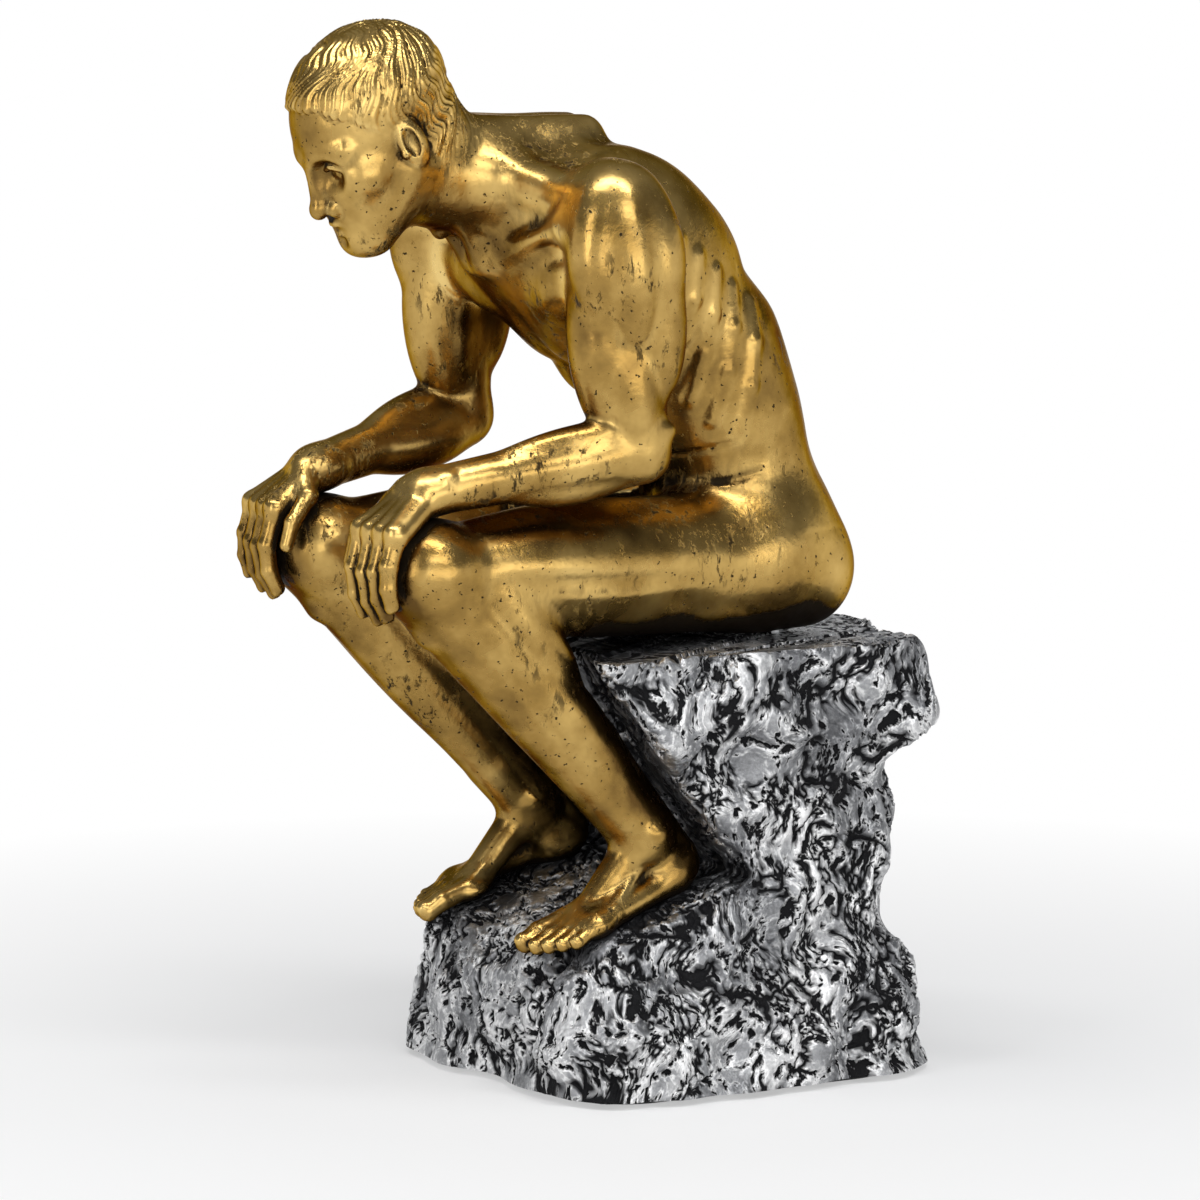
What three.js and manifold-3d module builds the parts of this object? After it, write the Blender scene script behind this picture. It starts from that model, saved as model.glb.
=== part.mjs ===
// A seated figure on a rock: a cast-resin ornament. The rock, trunk, head, arms, legs and lap cloth are
// separate castings, glued together on steel dowels, and a felt sheet covers the underside.
// Millimetres, +Z up. The figure faces -Y and its left side is +X.
// The origin is the middle of the footprint, on the surface that the ornament stands on.
import * as THREE from 'three';
import { mergeVertices } from 'three/addons/utils/BufferGeometryUtils.js';
import Module from 'manifold-3d';

const wasm = await Module();
wasm.setup();

// Rock
const BASE_WIDTH = 100;
const BASE_DEPTH = 100;
const BASE_ROUND = 14;
const SKIRT_HEIGHT = 28;
const SEAT_HEIGHT = 104.5;
const SEAT_WIDTH = 93;
const SEAT_DEPTH = 92;
const SEAT_THICKNESS = 26;
const SEAT_ROUND = 6;
const SEAT_FROM_BACK = 2;
const WAIST_WIDTH = 86;
const WAIST_DEPTH = 89;
const WAIST_FROM_BACK = 7;
const WAIST_ROUND = 12;
const LEDGE_SLOPE = 18;
const LEDGE_BEHIND_HEEL = 4;
const FACE_TOP_FROM_FRONT = 3;
const FACE_BLEND = 6;
const ROCK_BLEND = 12;
const ROCK_RELIEF = 3;
const BROAD_RELIEF = 0.75;
const CLOSE_RELIEF = 0.55;
const SHANK_ROOM = 2.5;
const SHANK_ROOM_BLEND = 8;
const FELT_THICKNESS = 1.2;
const FELT_INSET = 7;
const FELT_CORNER = 16;

// Figure: joint to joint lengths
const HIP_FROM_CENTRE = 13;
const HIP_HEIGHT = 16.5;
const HIP_HALF_SPACING = 17;
const PELVIS_LENGTH = 37;
const LOIN_LENGTH = 40;
const CHEST_LENGTH = 32;
const NECK_LENGTH = 26;
const SHOULDER_HALF_SPACING = 39;
const UPPER_ARM_LENGTH = 56;
const FOREARM_LENGTH = 50;
const THIGH_LENGTH = 92;
const SHANK_LENGTH = 87;
const ANKLE_HEIGHT = 15.5;
const FOOT_LENGTH = 50;
const HEEL_BEHIND_ANKLE = 12.5;
const HEAD_HEIGHT = 46;
const HEAD_UNIT = 1.06;
const HAIRLINE_FRONT = 14.5;
const HAIRLINE_UP = 14;

// Figure: girths, as half sizes
const CHEST_HALF_WIDTH = 31;
const CHEST_HALF_DEPTH = 24.5;
const LOIN_HALF_WIDTH = 25.5;
const LOIN_HALF_DEPTH = 19.5;
const PELVIS_HALF_WIDTH = 33;
const PELVIS_HALF_DEPTH = 22;
const BACK_RADIUS = 16.5;
const BACK_HALF_SPACING = 9;
const NECK_RADIUS = 12.6;
const THIGH_RADIUS = 18;
const KNEE_RADIUS = 11;
const CALF_RADIUS = 13.8;
const ANKLE_RADIUS = 6.4;
const FOOT_HALF_WIDTH = 9.2;
const UPPER_ARM_RADIUS = 12.4;
const ELBOW_RADIUS = 7.3;
const FOREARM_RADIUS = 10.2;
const WRIST_RADIUS = 5.4;
const FINGER_RADIUS = 2.2;
const FINGER_SPACING = 4.5;

// Figure: pose, in degrees
const PELVIS_LEAN = 6;
const LOIN_LEAN = 36;
const CHEST_LEAN = 58;
const NECK_LEAN = 80;
const HEAD_BOW = 30;
const THIGH_SPREAD = 6;
const THIGH_RISE = 3;
const SHANK_TUCK = 41;
const TOE_OUT = 5;
const ELBOW_FLARE = 18;

// Joints between castings
const GLUE_GAP = 0.3;
const FIT_GAP = 0.6;
const DOWEL_RADIUS = 2.2;
const FOOT_PIN_RADIUS = 1.4;
const DOWEL_DEPTH = 8;
const SEAT_DOWEL_DEPTH = 11;
const SEAT_DOWEL_BEHIND_HIP = 7;
const FOOT_PIN_DEPTH = 6;
const HIP_SEAM_FROM_HIP = 16;
const CREASE_ABOVE_HIP = 19;
const THIGH_ON_SEAT = 30;
const THIGH_SINK = 8;
const SHOULDER_SEAM_INSET = 8;
const SHOULDER_CAP_RADIUS = 16;
const ARMPIT_BELOW_SHOULDER = 28;
const NECK_SEAM_SHARE = 0.42;

// Lap cloth
const CLOTH_THICKNESS = 2.2;
const CLOTH_HALF_WIDTH = 25;
const CLOTH_LENGTH = 34;
const CLOTH_DROP = 24;
const CLOTH_RISE = 8;
const CLOTH_SAG = 24;

// Facets of the skins
const ROCK_FACET = 4;
const TRUNK_FACET = 2.9;
const LEG_FACET = 1.85;
const ARM_FACET = 1.25;
const HEAD_FACET = 1.3;
const CLOTH_FACET = 2;
const SKIN_TOLERANCE = 0.33;
const ROCK_TOLERANCE = 0.4;
const CUTTER_TOLERANCE = 0.16;
const LONG_EDGE_COST = 0.008;
const ROUND_SIDES = 16;

const vec = (x, y, z) => new THREE.Vector3(x, y, z);
const radians = THREE.MathUtils.degToRad;
const upLeaning = (degrees) => vec(0, -Math.sin(radians(degrees)), Math.cos(radians(degrees)));
const FORWARD = vec(0, -1, 0);
const UP = vec(0, 0, 1);
const SIDES = { left: 1, right: -1 };

// A bone runs from a to b. Its front is square to it, and its side points outwards on the body's half.
class Bone {
  constructor(a, b, front, half = 1) {
    this.a = a;
    this.b = b;
    this.axis = b.clone().sub(a);
    this.length = this.axis.length();
    this.axis.normalize();
    this.front = front.clone().addScaledVector(this.axis, -front.dot(this.axis)).normalize();
    this.side = this.axis.clone().cross(this.front);
    if (this.side.x * half < 0) this.side.negate();
  }

  at(share, front = 0, side = 0) {
    return this.a.clone()
      .addScaledVector(this.axis, share * this.length)
      .addScaledVector(this.front, front)
      .addScaledVector(this.side, side);
  }
}

// Lumps of clay: signed distances, each with the box that it reaches.
const reachOf = (points, radius) => new THREE.Box3().setFromPoints(points).expandByScalar(radius);

// A round bar whose radius tapers from one end to the other.
function bar(a, b, radiusA, radiusB = radiusA) {
  const axis = b.clone().sub(a);
  const squared = Math.max(axis.lengthSq(), 1e-9);
  const foot = vec(0, 0, 0);
  const distance = (p) => {
    const share = THREE.MathUtils.clamp(foot.copy(p).sub(a).dot(axis) / squared, 0, 1);
    return foot.copy(a).addScaledVector(axis, share).distanceTo(p) - radiusA - (radiusB - radiusA) * share;
  };
  return { distance, reach: reachOf([a, b], Math.max(radiusA, radiusB)) };
}

const ball = (centre, radius) => bar(centre, centre, radius);

// An ellipsoid that lies along a bone's axis, with its depth towards the bone's front.
function egg(centre, bone, halfLength, halfWidth, halfDepth) {
  const across = bone.axis.clone().cross(bone.front).normalize();
  const deepest = Math.min(halfLength, halfWidth, halfDepth);
  const from = vec(0, 0, 0);
  const distance = (p) => {
    from.copy(p).sub(centre);
    const along = from.dot(bone.axis) / halfLength;
    const wide = from.dot(across) / halfWidth;
    const deep = from.dot(bone.front) / halfDepth;
    const scaled = Math.hypot(along, wide, deep);
    const slope = Math.hypot(along / halfLength, wide / halfWidth, deep / halfDepth);
    return slope < 1e-9 ? -deepest : Math.max(scaled * (scaled - 1) / slope, -deepest);
  };
  return { distance, reach: reachOf([centre], Math.max(halfLength, halfWidth, halfDepth)) };
}

// A brick with rounded edges, laid like the ellipsoid.
function brick(centre, bone, halfLength, halfWidth, halfDepth, round) {
  const across = bone.axis.clone().cross(bone.front).normalize();
  const half = vec(halfLength, halfWidth, halfDepth).subScalar(round);
  const from = vec(0, 0, 0);
  const out = vec(0, 0, 0);
  const distance = (p) => {
    from.copy(p).sub(centre);
    out.set(from.dot(bone.axis), from.dot(across), from.dot(bone.front));
    out.set(Math.abs(out.x), Math.abs(out.y), Math.abs(out.z)).sub(half);
    const within = Math.min(Math.max(out.x, out.y, out.z), 0);
    return within + Math.hypot(Math.max(out.x, 0), Math.max(out.y, 0), Math.max(out.z, 0)) - round;
  };
  return { distance, reach: reachOf([centre], Math.hypot(halfLength, halfWidth, halfDepth)) };
}

// Everything beyond a plane. It is only ever carved, so it needs no reach.
const halfSpace = (point, normal) => ({ distance: (p) => normal.dot(point) - normal.dot(p), reach: null });

// A lump made larger about a point.
function enlarged({ distance, reach }, centre, factor) {
  const from = vec(0, 0, 0);
  const corners = [reach.min, reach.max].map((p) => p.clone().sub(centre).multiplyScalar(factor).add(centre));
  return {
    distance: (p) => factor * distance(from.copy(p).sub(centre).divideScalar(factor).add(centre)),
    reach: new THREE.Box3(...corners),
  };
}

// A muscle's belly between two places on a bone, each given as [share, front, side].
function belly(bone, from, to, halfWidth, halfDepth) {
  const start = bone.at(...from);
  const end = bone.at(...to);
  const middle = start.clone().lerp(end, 0.5);
  const outward = bone.front.clone().multiplyScalar(from[1] + to[1])
    .addScaledVector(bone.side, (from[2] ?? 0) + (to[2] ?? 0));
  const facing = outward.lengthSq() > 1e-6 ? outward : bone.front;
  return egg(middle, new Bone(start, end, facing), start.distanceTo(end) / 2, halfWidth, halfDepth);
}

// Clay is a list of lumps, each blended into what is there already.
class Clay {
  constructor(lumps = []) {
    this.lumps = [...lumps];
  }

  add(lump, blend = 0) {
    this.lumps.push({ ...lump, blend, sign: 1 });
    return this;
  }

  carve(lump, blend = 0) {
    this.lumps.push({ ...lump, blend, sign: -1 });
    return this;
  }

  join(other, blend) {
    other.lumps.forEach((lump, i) => this.lumps.push(i ? lump : { ...lump, blend }));
    return this;
  }

  distance(p) {
    let total = Infinity;
    for (const { distance, blend, sign } of this.lumps) {
      const a = sign * total;
      const b = distance(p);
      const near = blend > 0 && Number.isFinite(a) ? Math.max(blend - Math.abs(a - b), 0) / blend : 0;
      total = sign * (Math.min(a, b) - near * near * blend / 4);
    }
    return total;
  }

  reach() {
    const box = new THREE.Box3();
    this.lumps.filter(({ sign }) => sign > 0).forEach(({ reach }) => box.union(reach));
    return box;
  }

  // The whole as a single lump, grown by `swell`
  lump(swell = 0) {
    return { distance: (p) => this.distance(p) - swell, reach: this.reach().expandByScalar(Math.abs(swell)) };
  }
}

// Wraps clay in a closed skin of quads about one facet wide, swollen by `swell`.
function skin(clay, facet, swell = 0, tolerance = SKIN_TOLERANCE) {
  const box = clay.reach().expandByScalar(1.6 * facet + swell);
  const size = box.getSize(vec(0, 0, 0));
  const count = [size.x, size.y, size.z].map((length) => Math.ceil(length / facet) + 1);
  const stride = [1, count[0], count[0] * count[1]];
  const depthAt = (p) => clay.distance(p) - swell;
  const nodeAt = (i, j, k) => vec(i, j, k).multiplyScalar(facet).add(box.min);
  const depth = sampled(count, facet, (i, j, k) => depthAt(nodeAt(i, j, k)));
  closePinches(depth, stride, count, -0.02 * facet);

  const corners = [0, 1].flatMap((k) => [0, 1].flatMap((j) => [0, 1].map((i) => [i, j, k])));
  const cellVertex = new Int32Array(depth.length).fill(-1);
  const points = [];
  eachCell(count, stride, (i, j, k, n) => {
    const inside = corners.filter(([a, b, c]) => depth[n + a + b * stride[1] + c * stride[2]] < 0).length;
    if (inside === 0 || inside === 8) return;
    cellVertex[n] = points.length / 3;
    const low = nodeAt(i, j, k);
    const settled = settle(depthAt, low.clone().addScalar(facet / 2), low, facet);
    points.push(settled.x, settled.y, settled.z);
  });

  const triangles = [];
  eachCell(count, stride, (i, j, k, n) => {
    [0, 1, 2].forEach((axis) => {
      const here = depth[n] < 0;
      if (here === depth[n + stride[axis]] < 0) return;
      const b = stride[(axis + 1) % 3];
      const c = stride[(axis + 2) % 3];
      const ring = [n - b - c, n - c, n, n - b].map((cell) => cellVertex[cell]);
      if (!here) ring.reverse();
      triangles.push(...splitQuad(ring, points));
    });
  });
  const kept = thin(points, triangles, tolerance);
  return new wasm.Manifold(new wasm.Mesh({
    numProp: 3,
    vertProperties: new Float32Array(points),
    triVerts: new Uint32Array(kept),
  }));
}

// Sums of squared distances to planes, weighted by area: ten sums and the weight.
const PLANE_SUMS = 11;
function planeSums(p, q, r) {
  const normal = q.clone().sub(p).cross(r.clone().sub(p));
  const area = normal.length() / 2;
  normal.normalize();
  const { x: a, y: b, z: c } = normal;
  const d = -normal.dot(p);
  return [a * a, a * b, a * c, a * d, b * b, b * c, b * d, c * c, c * d, d * d, 1].map((sum) => sum * area);
}

function distanceToPlanes(s, t, { x, y, z }) {
  const sums = s.map((sum, i) => sum + t[i]);
  const squared = sums[0] * x * x + 2 * sums[1] * x * y + 2 * sums[2] * x * z + 2 * sums[3] * x
    + sums[4] * y * y + 2 * sums[5] * y * z + 2 * sums[6] * y
    + sums[7] * z * z + 2 * sums[8] * z + sums[9];
  return Math.sqrt(Math.max(squared, 0) / Math.max(sums[10], 1e-9));
}

// Takes out the edges that a skin's form can spare, the flattest first, and gives the triangles that are left.
function thin(points, triangles, tolerance) {
  const places = Array.from({ length: points.length / 3 }, (_, v) => vec(...points.slice(3 * v, 3 * v + 3)));
  const facesAt = places.map(() => new Set());
  const planes = places.map(() => new Array(PLANE_SUMS).fill(0));
  const faces = [];
  for (let t = 0; t < triangles.length; t += 3) {
    const face = triangles.slice(t, t + 3);
    const sums = planeSums(...face.map((v) => places[v]));
    face.forEach((v) => {
      facesAt[v].add(face);
      sums.forEach((sum, i) => { planes[v][i] += sum; });
    });
    faces.push(face);
  }
  const neighbours = (v) => {
    const ring = new Set();
    for (const face of facesAt[v]) face.forEach((other) => ring.add(other));
    ring.delete(v);
    return ring;
  };
  const normalOf = ([p, q, r]) => q.clone().sub(p).cross(r.clone().sub(p));
  const folds = (v, gone, target) => [...facesAt[v]].some((face) => {
    if (face.includes(gone)) return false;
    const before = normalOf(face.map((n) => places[n]));
    const after = normalOf(face.map((n) => (n === v ? target : places[n])));
    return after.length() < 1e-3 || after.dot(before) < 0.4 * after.length() * before.length();
  });
  const merge = (v, other, target) => {
    for (const face of [...facesAt[other]]) {
      if (face.includes(v)) face.forEach((n) => facesAt[n].delete(face));
      else {
        face[face.indexOf(other)] = v;
        facesAt[v].add(face);
      }
    }
    facesAt[other].clear();
    planes[other].forEach((sum, i) => { planes[v][i] += sum; });
    places[v].copy(target);
  };
  let merged = true;
  while (merged) {
    merged = false;
    const edges = [];
    places.forEach((place, v) => {
      for (const other of neighbours(v)) {
        if (other < v) continue;
        for (const target of [place, places[other], place.clone().lerp(places[other], 0.5)]) {
          const cost = distanceToPlanes(planes[v], planes[other], target)
            + LONG_EDGE_COST * place.distanceTo(places[other]);
          if (cost < tolerance) edges.push({ v, other, cost, target: target.clone() });
        }
      }
    });
    edges.sort((a, b) => a.cost - b.cost);
    const touched = new Set();
    for (const { v, other, target } of edges) {
      if (touched.has(v) || touched.has(other)) continue;
      const rings = [neighbours(v), neighbours(other)];
      const shared = [...rings[0]].filter((n) => rings[1].has(n));
      if (shared.length !== 2 || shared.some((n) => facesAt[n].size < 4)) continue;
      if (folds(v, other, target) || folds(other, v, target)) continue;
      rings.forEach((ring) => ring.forEach((n) => touched.add(n)));
      merge(v, other, target);
      merged = true;
    }
  }
  places.forEach((place, v) => place.toArray(points, 3 * v));
  return faces.filter((face) => facesAt[face[0]].has(face)).flat();
}

// Samples a grid in small blocks. A block that lies well clear of the surface takes its middle's value.
const BLOCK = 4;
function sampled(count, facet, depthAt) {
  const depth = new Float64Array(count[0] * count[1] * count[2]);
  const clear = BLOCK * facet * 1.2;
  const eachIn = (low, high, step, visit) => {
    for (let k = low[2]; k < high[2]; k += step)
      for (let j = low[1]; j < high[1]; j += step)
        for (let i = low[0]; i < high[0]; i += step) visit(i, j, k);
  };
  eachIn([0, 0, 0], count, BLOCK, (...low) => {
    const middle = depthAt(...low.map((n) => n + (BLOCK - 1) / 2));
    const high = low.map((n, axis) => Math.min(n + BLOCK, count[axis]));
    eachIn(low, high, 1, (i, j, k) => {
      depth[i + count[0] * (j + count[1] * k)] = Math.abs(middle) > clear ? middle : depthAt(i, j, k);
    });
  });
  return depth;
}

function eachCell(count, stride, visit) {
  for (let k = 0; k < count[2] - 1; k++)
    for (let j = 0; j < count[1] - 1; j++)
      for (let i = 0; i < count[0] - 1; i++) visit(i, j, k, i + j * stride[1] + k * stride[2]);
}

// Fills grid nodes until the solid nowhere touches itself at only an edge or a corner.
function closePinches(depth, stride, count, filled) {
  const inside = (n) => depth[n] < 0;
  let changed = true;
  const fill = (n) => {
    depth[n] = filled;
    changed = true;
  };
  while (changed) {
    changed = false;
    eachCell(count, stride, (i, j, k, n) => {
      [[0, 1], [1, 2], [0, 2]].forEach(([a, b]) => {
        const [p, q, r, s] = [n, n + stride[a], n + stride[b], n + stride[a] + stride[b]];
        if (inside(p) === inside(s) && inside(q) === inside(r) && inside(p) !== inside(q))
          fill(inside(p) ? q : p);
      });
      const cube = [0, 1, 2, 3, 4, 5, 6, 7]
        .map((c) => n + (c & 1) + ((c >> 1) & 1) * stride[1] + (c >> 2) * stride[2]);
      [0, 1, 2, 3].forEach((c) => {
        const [p, q] = [cube[c], cube[7 - c]];
        const others = cube.filter((m) => m !== p && m !== q);
        if (inside(p) && inside(q) && !others.some(inside)) fill(others[0]);
        if (!inside(p) && !inside(q) && others.every(inside)) fill(p);
      });
    });
  }
}

// Moves a cell's point onto the surface, without leaving the cell.
function settle(depthAt, point, low, facet) {
  const h = facet / 20;
  const high = low.clone().addScalar(facet);
  for (let step = 0; step < 5; step++) {
    const slope = vec(...['x', 'y', 'z'].map((axis) => {
      const ahead = point.clone();
      const behind = point.clone();
      ahead[axis] += h;
      behind[axis] -= h;
      return (depthAt(ahead) - depthAt(behind)) / (2 * h);
    }));
    point.addScaledVector(slope, -depthAt(point) / Math.max(slope.lengthSq(), 0.05)).clamp(low, high);
  }
  return point;
}

// Splits a quad along its shorter diagonal.
function splitQuad([a, b, c, d], points) {
  const gap = (p, q) => Math.hypot(...[0, 1, 2].map((i) => points[3 * p + i] - points[3 * q + i]));
  return gap(a, c) <= gap(b, d) ? [a, b, c, a, c, d] : [a, b, d, b, c, d];
}

// Solids from and to three.js geometry.
function solidFrom(geometry, matrix = new THREE.Matrix4()) {
  const bare = geometry.clone().applyMatrix4(matrix);
  bare.deleteAttribute('normal');
  bare.deleteAttribute('uv');
  const merged = mergeVertices(bare);
  return new wasm.Manifold(new wasm.Mesh({
    numProp: 3,
    vertProperties: new Float32Array(merged.attributes.position.array),
    triVerts: new Uint32Array(merged.index.array),
  }));
}

function geometryFrom(solid) {
  const { vertProperties, triVerts } = solid.getMesh();
  const geometry = new THREE.BufferGeometry()
    .setAttribute('position', new THREE.BufferAttribute(new Float32Array(vertProperties), 3))
    .setIndex(new THREE.BufferAttribute(new Uint32Array(triVerts), 1));
  geometry.computeVertexNormals();
  return geometry;
}

function block(low, high) {
  const size = high.clone().sub(low);
  const middle = low.clone().add(high).multiplyScalar(0.5);
  return solidFrom(new THREE.BoxGeometry(size.x, size.y, size.z), new THREE.Matrix4().setPosition(middle));
}

// A large block on the far side of a plane, which trims whatever lies beyond it.
const FAR = 400;
function beyond(point, normal) {
  const turn = new THREE.Quaternion().setFromUnitVectors(UP, normal.clone().normalize());
  const middle = point.clone().addScaledVector(normal.clone().normalize(), FAR);
  const matrix = new THREE.Matrix4().compose(middle, turn, vec(1, 1, 1));
  return solidFrom(new THREE.BoxGeometry(2 * FAR, 2 * FAR, 2 * FAR), matrix);
}

// Skeleton of the trunk
const hipCentre = vec(0, HIP_FROM_CENTRE, SEAT_HEIGHT + HIP_HEIGHT);
const spineBone = (from, length, lean) =>
  new Bone(from, from.clone().addScaledVector(upLeaning(lean), length), FORWARD);
const pelvis = spineBone(hipCentre, PELVIS_LENGTH, PELVIS_LEAN);
const loin = spineBone(pelvis.b, LOIN_LENGTH, LOIN_LEAN);
const chest = spineBone(loin.b, CHEST_LENGTH, CHEST_LEAN);
const neck = spineBone(chest.at(1.06, -2), NECK_LENGTH, NECK_LEAN);
const head = spineBone(neck.b, HEAD_HEIGHT, HEAD_BOW);

// Skeleton of the legs
function legBones(half) {
  const hip = vec(half * HIP_HALF_SPACING, hipCentre.y, hipCentre.z);
  const spread = radians(THIGH_SPREAD);
  const rise = radians(THIGH_RISE);
  const thighway = vec(half * Math.sin(spread), -Math.cos(spread), Math.tan(rise)).normalize();
  const knee = hip.clone().addScaledVector(thighway, THIGH_LENGTH);
  const tuck = radians(SHANK_TUCK);
  const ankle = knee.clone().add(vec(0, Math.sin(tuck), -Math.cos(tuck)).multiplyScalar(SHANK_LENGTH));
  const slope = radians(LEDGE_SLOPE);
  const toeOut = radians(TOE_OUT);
  const soleUp = vec(0, -Math.sin(slope), Math.cos(slope));
  const toeward = vec(half * Math.sin(toeOut), -Math.cos(toeOut) * Math.cos(slope), -Math.sin(slope))
    .normalize();
  const heel = ankle.clone()
    .addScaledVector(soleUp, -ANKLE_HEIGHT)
    .addScaledVector(toeward, -HEEL_BEHIND_ANKLE);
  const toeTip = heel.clone().addScaledVector(toeward, FOOT_LENGTH);
  return {
    thigh: new Bone(hip, knee, UP, half),
    shank: new Bone(knee, ankle, FORWARD, half),
    foot: new Bone(heel, toeTip, soleUp, half),
  };
}

// Skeleton of the arms: the hand lies on the knee, and the elbow follows from the two lengths.
const HAND_REACH = KNEE_RADIUS + GLUE_GAP + 1.9 * FINGER_RADIUS;
function overKnee({ thigh }, degrees, side = 0, lift = 0) {
  const reach = HAND_REACH + lift;
  return thigh.b.clone()
    .addScaledVector(thigh.axis, reach * Math.cos(radians(degrees)))
    .addScaledVector(thigh.front, reach * Math.sin(radians(degrees)))
    .addScaledVector(thigh.side, side);
}

const KNUCKLE_ANGLE = 34;
const WRIST_ANGLE = 86;
const WRIST_LIFT = 2.6;
function armBones(half, leg) {
  const shoulder = chest.at(0.86, -4, half * SHOULDER_HALF_SPACING);
  const wrist = overKnee(leg, WRIST_ANGLE, 0, WRIST_LIFT);
  const flare = radians(ELBOW_FLARE);
  const line = new Bone(shoulder, wrist, vec(half * Math.sin(flare), Math.cos(flare), 0));
  const foot = (UPPER_ARM_LENGTH ** 2 - FOREARM_LENGTH ** 2 + line.length ** 2) / (2 * line.length);
  const bow = Math.sqrt(Math.max(UPPER_ARM_LENGTH ** 2 - foot ** 2, 0));
  const elbow = line.at(foot / line.length, bow);
  const upper = new Bone(shoulder, elbow, wrist.clone().sub(elbow), half);
  return { upper, fore: new Bone(elbow, wrist, UP, half) };
}

// Trunk
function chestClay() {
  const d = CHEST_HALF_DEPTH;
  const clay = new Clay()
    .add(egg(chest.at(0.12), chest, 31, CHEST_HALF_WIDTH, d))
    .add(egg(chest.at(0.78, -1.5), chest, 13, 1.06 * CHEST_HALF_WIDTH, 0.72 * d), 9);
  for (const half of Object.values(SIDES)) {
    const w = half * CHEST_HALF_WIDTH;
    clay
      .add(belly(chest, [0.25, 0.68 * d, 0.12 * w], [0.62, 0.52 * d, 0.98 * w], 10.5, 6), 4)
      .add(bar(chest.at(0.7, -0.2 * d, 0.86 * w), loin.at(0.35, -6, 0.52 * w), 8.5, 4.5), 8)
      .add(belly(chest, [-0.2, -0.78 * d, 0.5 * w], [0.75, -0.72 * d, 0.62 * w], 9, 5), 5)
      .add(bar(neck.at(0.35, -4, half * 4), chest.at(1.04, -3, 1.02 * w), 6.5, 5), 6)
      .add(bar(chest.at(0.95, 0.62 * d, half * 2.5), chest.at(1.06, 0.2 * d, 1.05 * w), 1.7), 3);
  }
  return clay;
}

function loinClay() {
  const w = LOIN_HALF_WIDTH;
  const d = LOIN_HALF_DEPTH;
  const clay = new Clay()
    .add(egg(loin.at(0.05), loin, 25, w, d))
    .add(egg(loin.at(0, 0.45 * d), loin, 20, 0.75 * w, 0.6 * d), 8);
  for (const half of Object.values(SIDES)) {
    clay.add(belly(loin, [-0.5, 2, 0.75 * half * w], [0.5, 2, 0.78 * half * w], 11, 6), 5);
  }
  return clay;
}

// Back: two columns of muscle that bend with the spine, with a furrow between them
function backClay() {
  const clay = new Clay();
  for (const half of Object.values(SIDES)) {
    const side = half * BACK_HALF_SPACING;
    const low = pelvis.at(0.35, -6, side);
    const middle = loin.at(0.35, -5, side);
    const high = chest.at(0.2, -5, side);
    clay
      .add(bar(low, middle, BACK_RADIUS), 6)
      .add(bar(middle, high, BACK_RADIUS), 6);
  }
  return clay;
}

function pelvisClay() {
  const w = PELVIS_HALF_WIDTH;
  const d = PELVIS_HALF_DEPTH;
  const clay = new Clay().add(egg(pelvis.at(0.12, -1.5), pelvis, 19, w, d));
  for (const half of Object.values(SIDES))
    clay.add(egg(pelvis.at(-0.08, -0.62 * d, half * 0.5 * w), pelvis, 15, 14, 13), 6);
  return clay;
}

function neckClay() {
  const clay = new Clay().add(bar(neck.at(-0.25), neck.at(1), 1.05 * NECK_RADIUS, 0.95 * NECK_RADIUS));
  for (const half of Object.values(SIDES))
    clay.add(bar(neck.at(0.95, -2, half * 8.2), chest.at(1, 0.66 * CHEST_HALF_DEPTH, half * 2.2), 2.6, 2), 3);
  return clay;
}

const furrowMiddle = loin.at(0.31, -23);
const lowFurrow = bar(pelvis.at(0.75, -22), furrowMiddle, 4.5);
const highFurrow = bar(furrowMiddle, chest.at(0.6, -CHEST_HALF_DEPTH), 4.5);
const trunkClay = () => chestClay()
  .join(loinClay(), 10)
  .join(backClay(), 10)
  .join(pelvisClay(), 12)
  .carve(lowFurrow, 7)
  .carve(highFurrow, 7);

// Leg, down to the ankle
function thighClay({ thigh, shank }) {
  const r = THIGH_RADIUS;
  const kneecapway = thigh.axis.clone().multiplyScalar(0.86).addScaledVector(thigh.front, 0.5);
  const kneecap = thigh.b.clone().addScaledVector(kneecapway, KNEE_RADIUS - 1);
  return new Clay()
    .add(bar(thigh.a, thigh.b, 0.96 * r, 0.95 * KNEE_RADIUS))
    .add(belly(thigh, [0.03, 0.36 * r, 0.1 * r], [0.93, 0.34 * r, 0], 0.6 * r, 0.5 * r), 4)
    .add(belly(thigh, [0.12, 0.1 * r, 0.5 * r], [0.95, 0.1 * r, 0.36 * r], 0.64 * r, 0.48 * r), 4)
    .add(belly(thigh, [0.45, 0.12 * r, -0.32 * r], [1.02, 0.12 * r, -0.36 * r], 0.48 * r, 0.4 * r), 3.5)
    .add(belly(thigh, [-0.05, -0.1 * r, -0.4 * r], [0.62, -0.15 * r, -0.26 * r], 0.72 * r, 0.52 * r), 5)
    .add(belly(thigh, [0, -0.42 * r, 0], [0.98, -0.34 * r, 0], 0.74 * r, 0.5 * r), 5)
    .add(bar(thigh.at(1, 0, 3.4), thigh.at(1, 0, -3.4), 0.92 * KNEE_RADIUS), 4)
    .add(egg(kneecap, new Bone(kneecap, kneecap.clone().add(shank.axis), kneecapway), 5.6, 4.8, 2.8), 3)
    .add(bar(kneecap, shank.at(0.13, 0.68 * CALF_RADIUS), 2.7, 2.6), 3);
}

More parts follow.
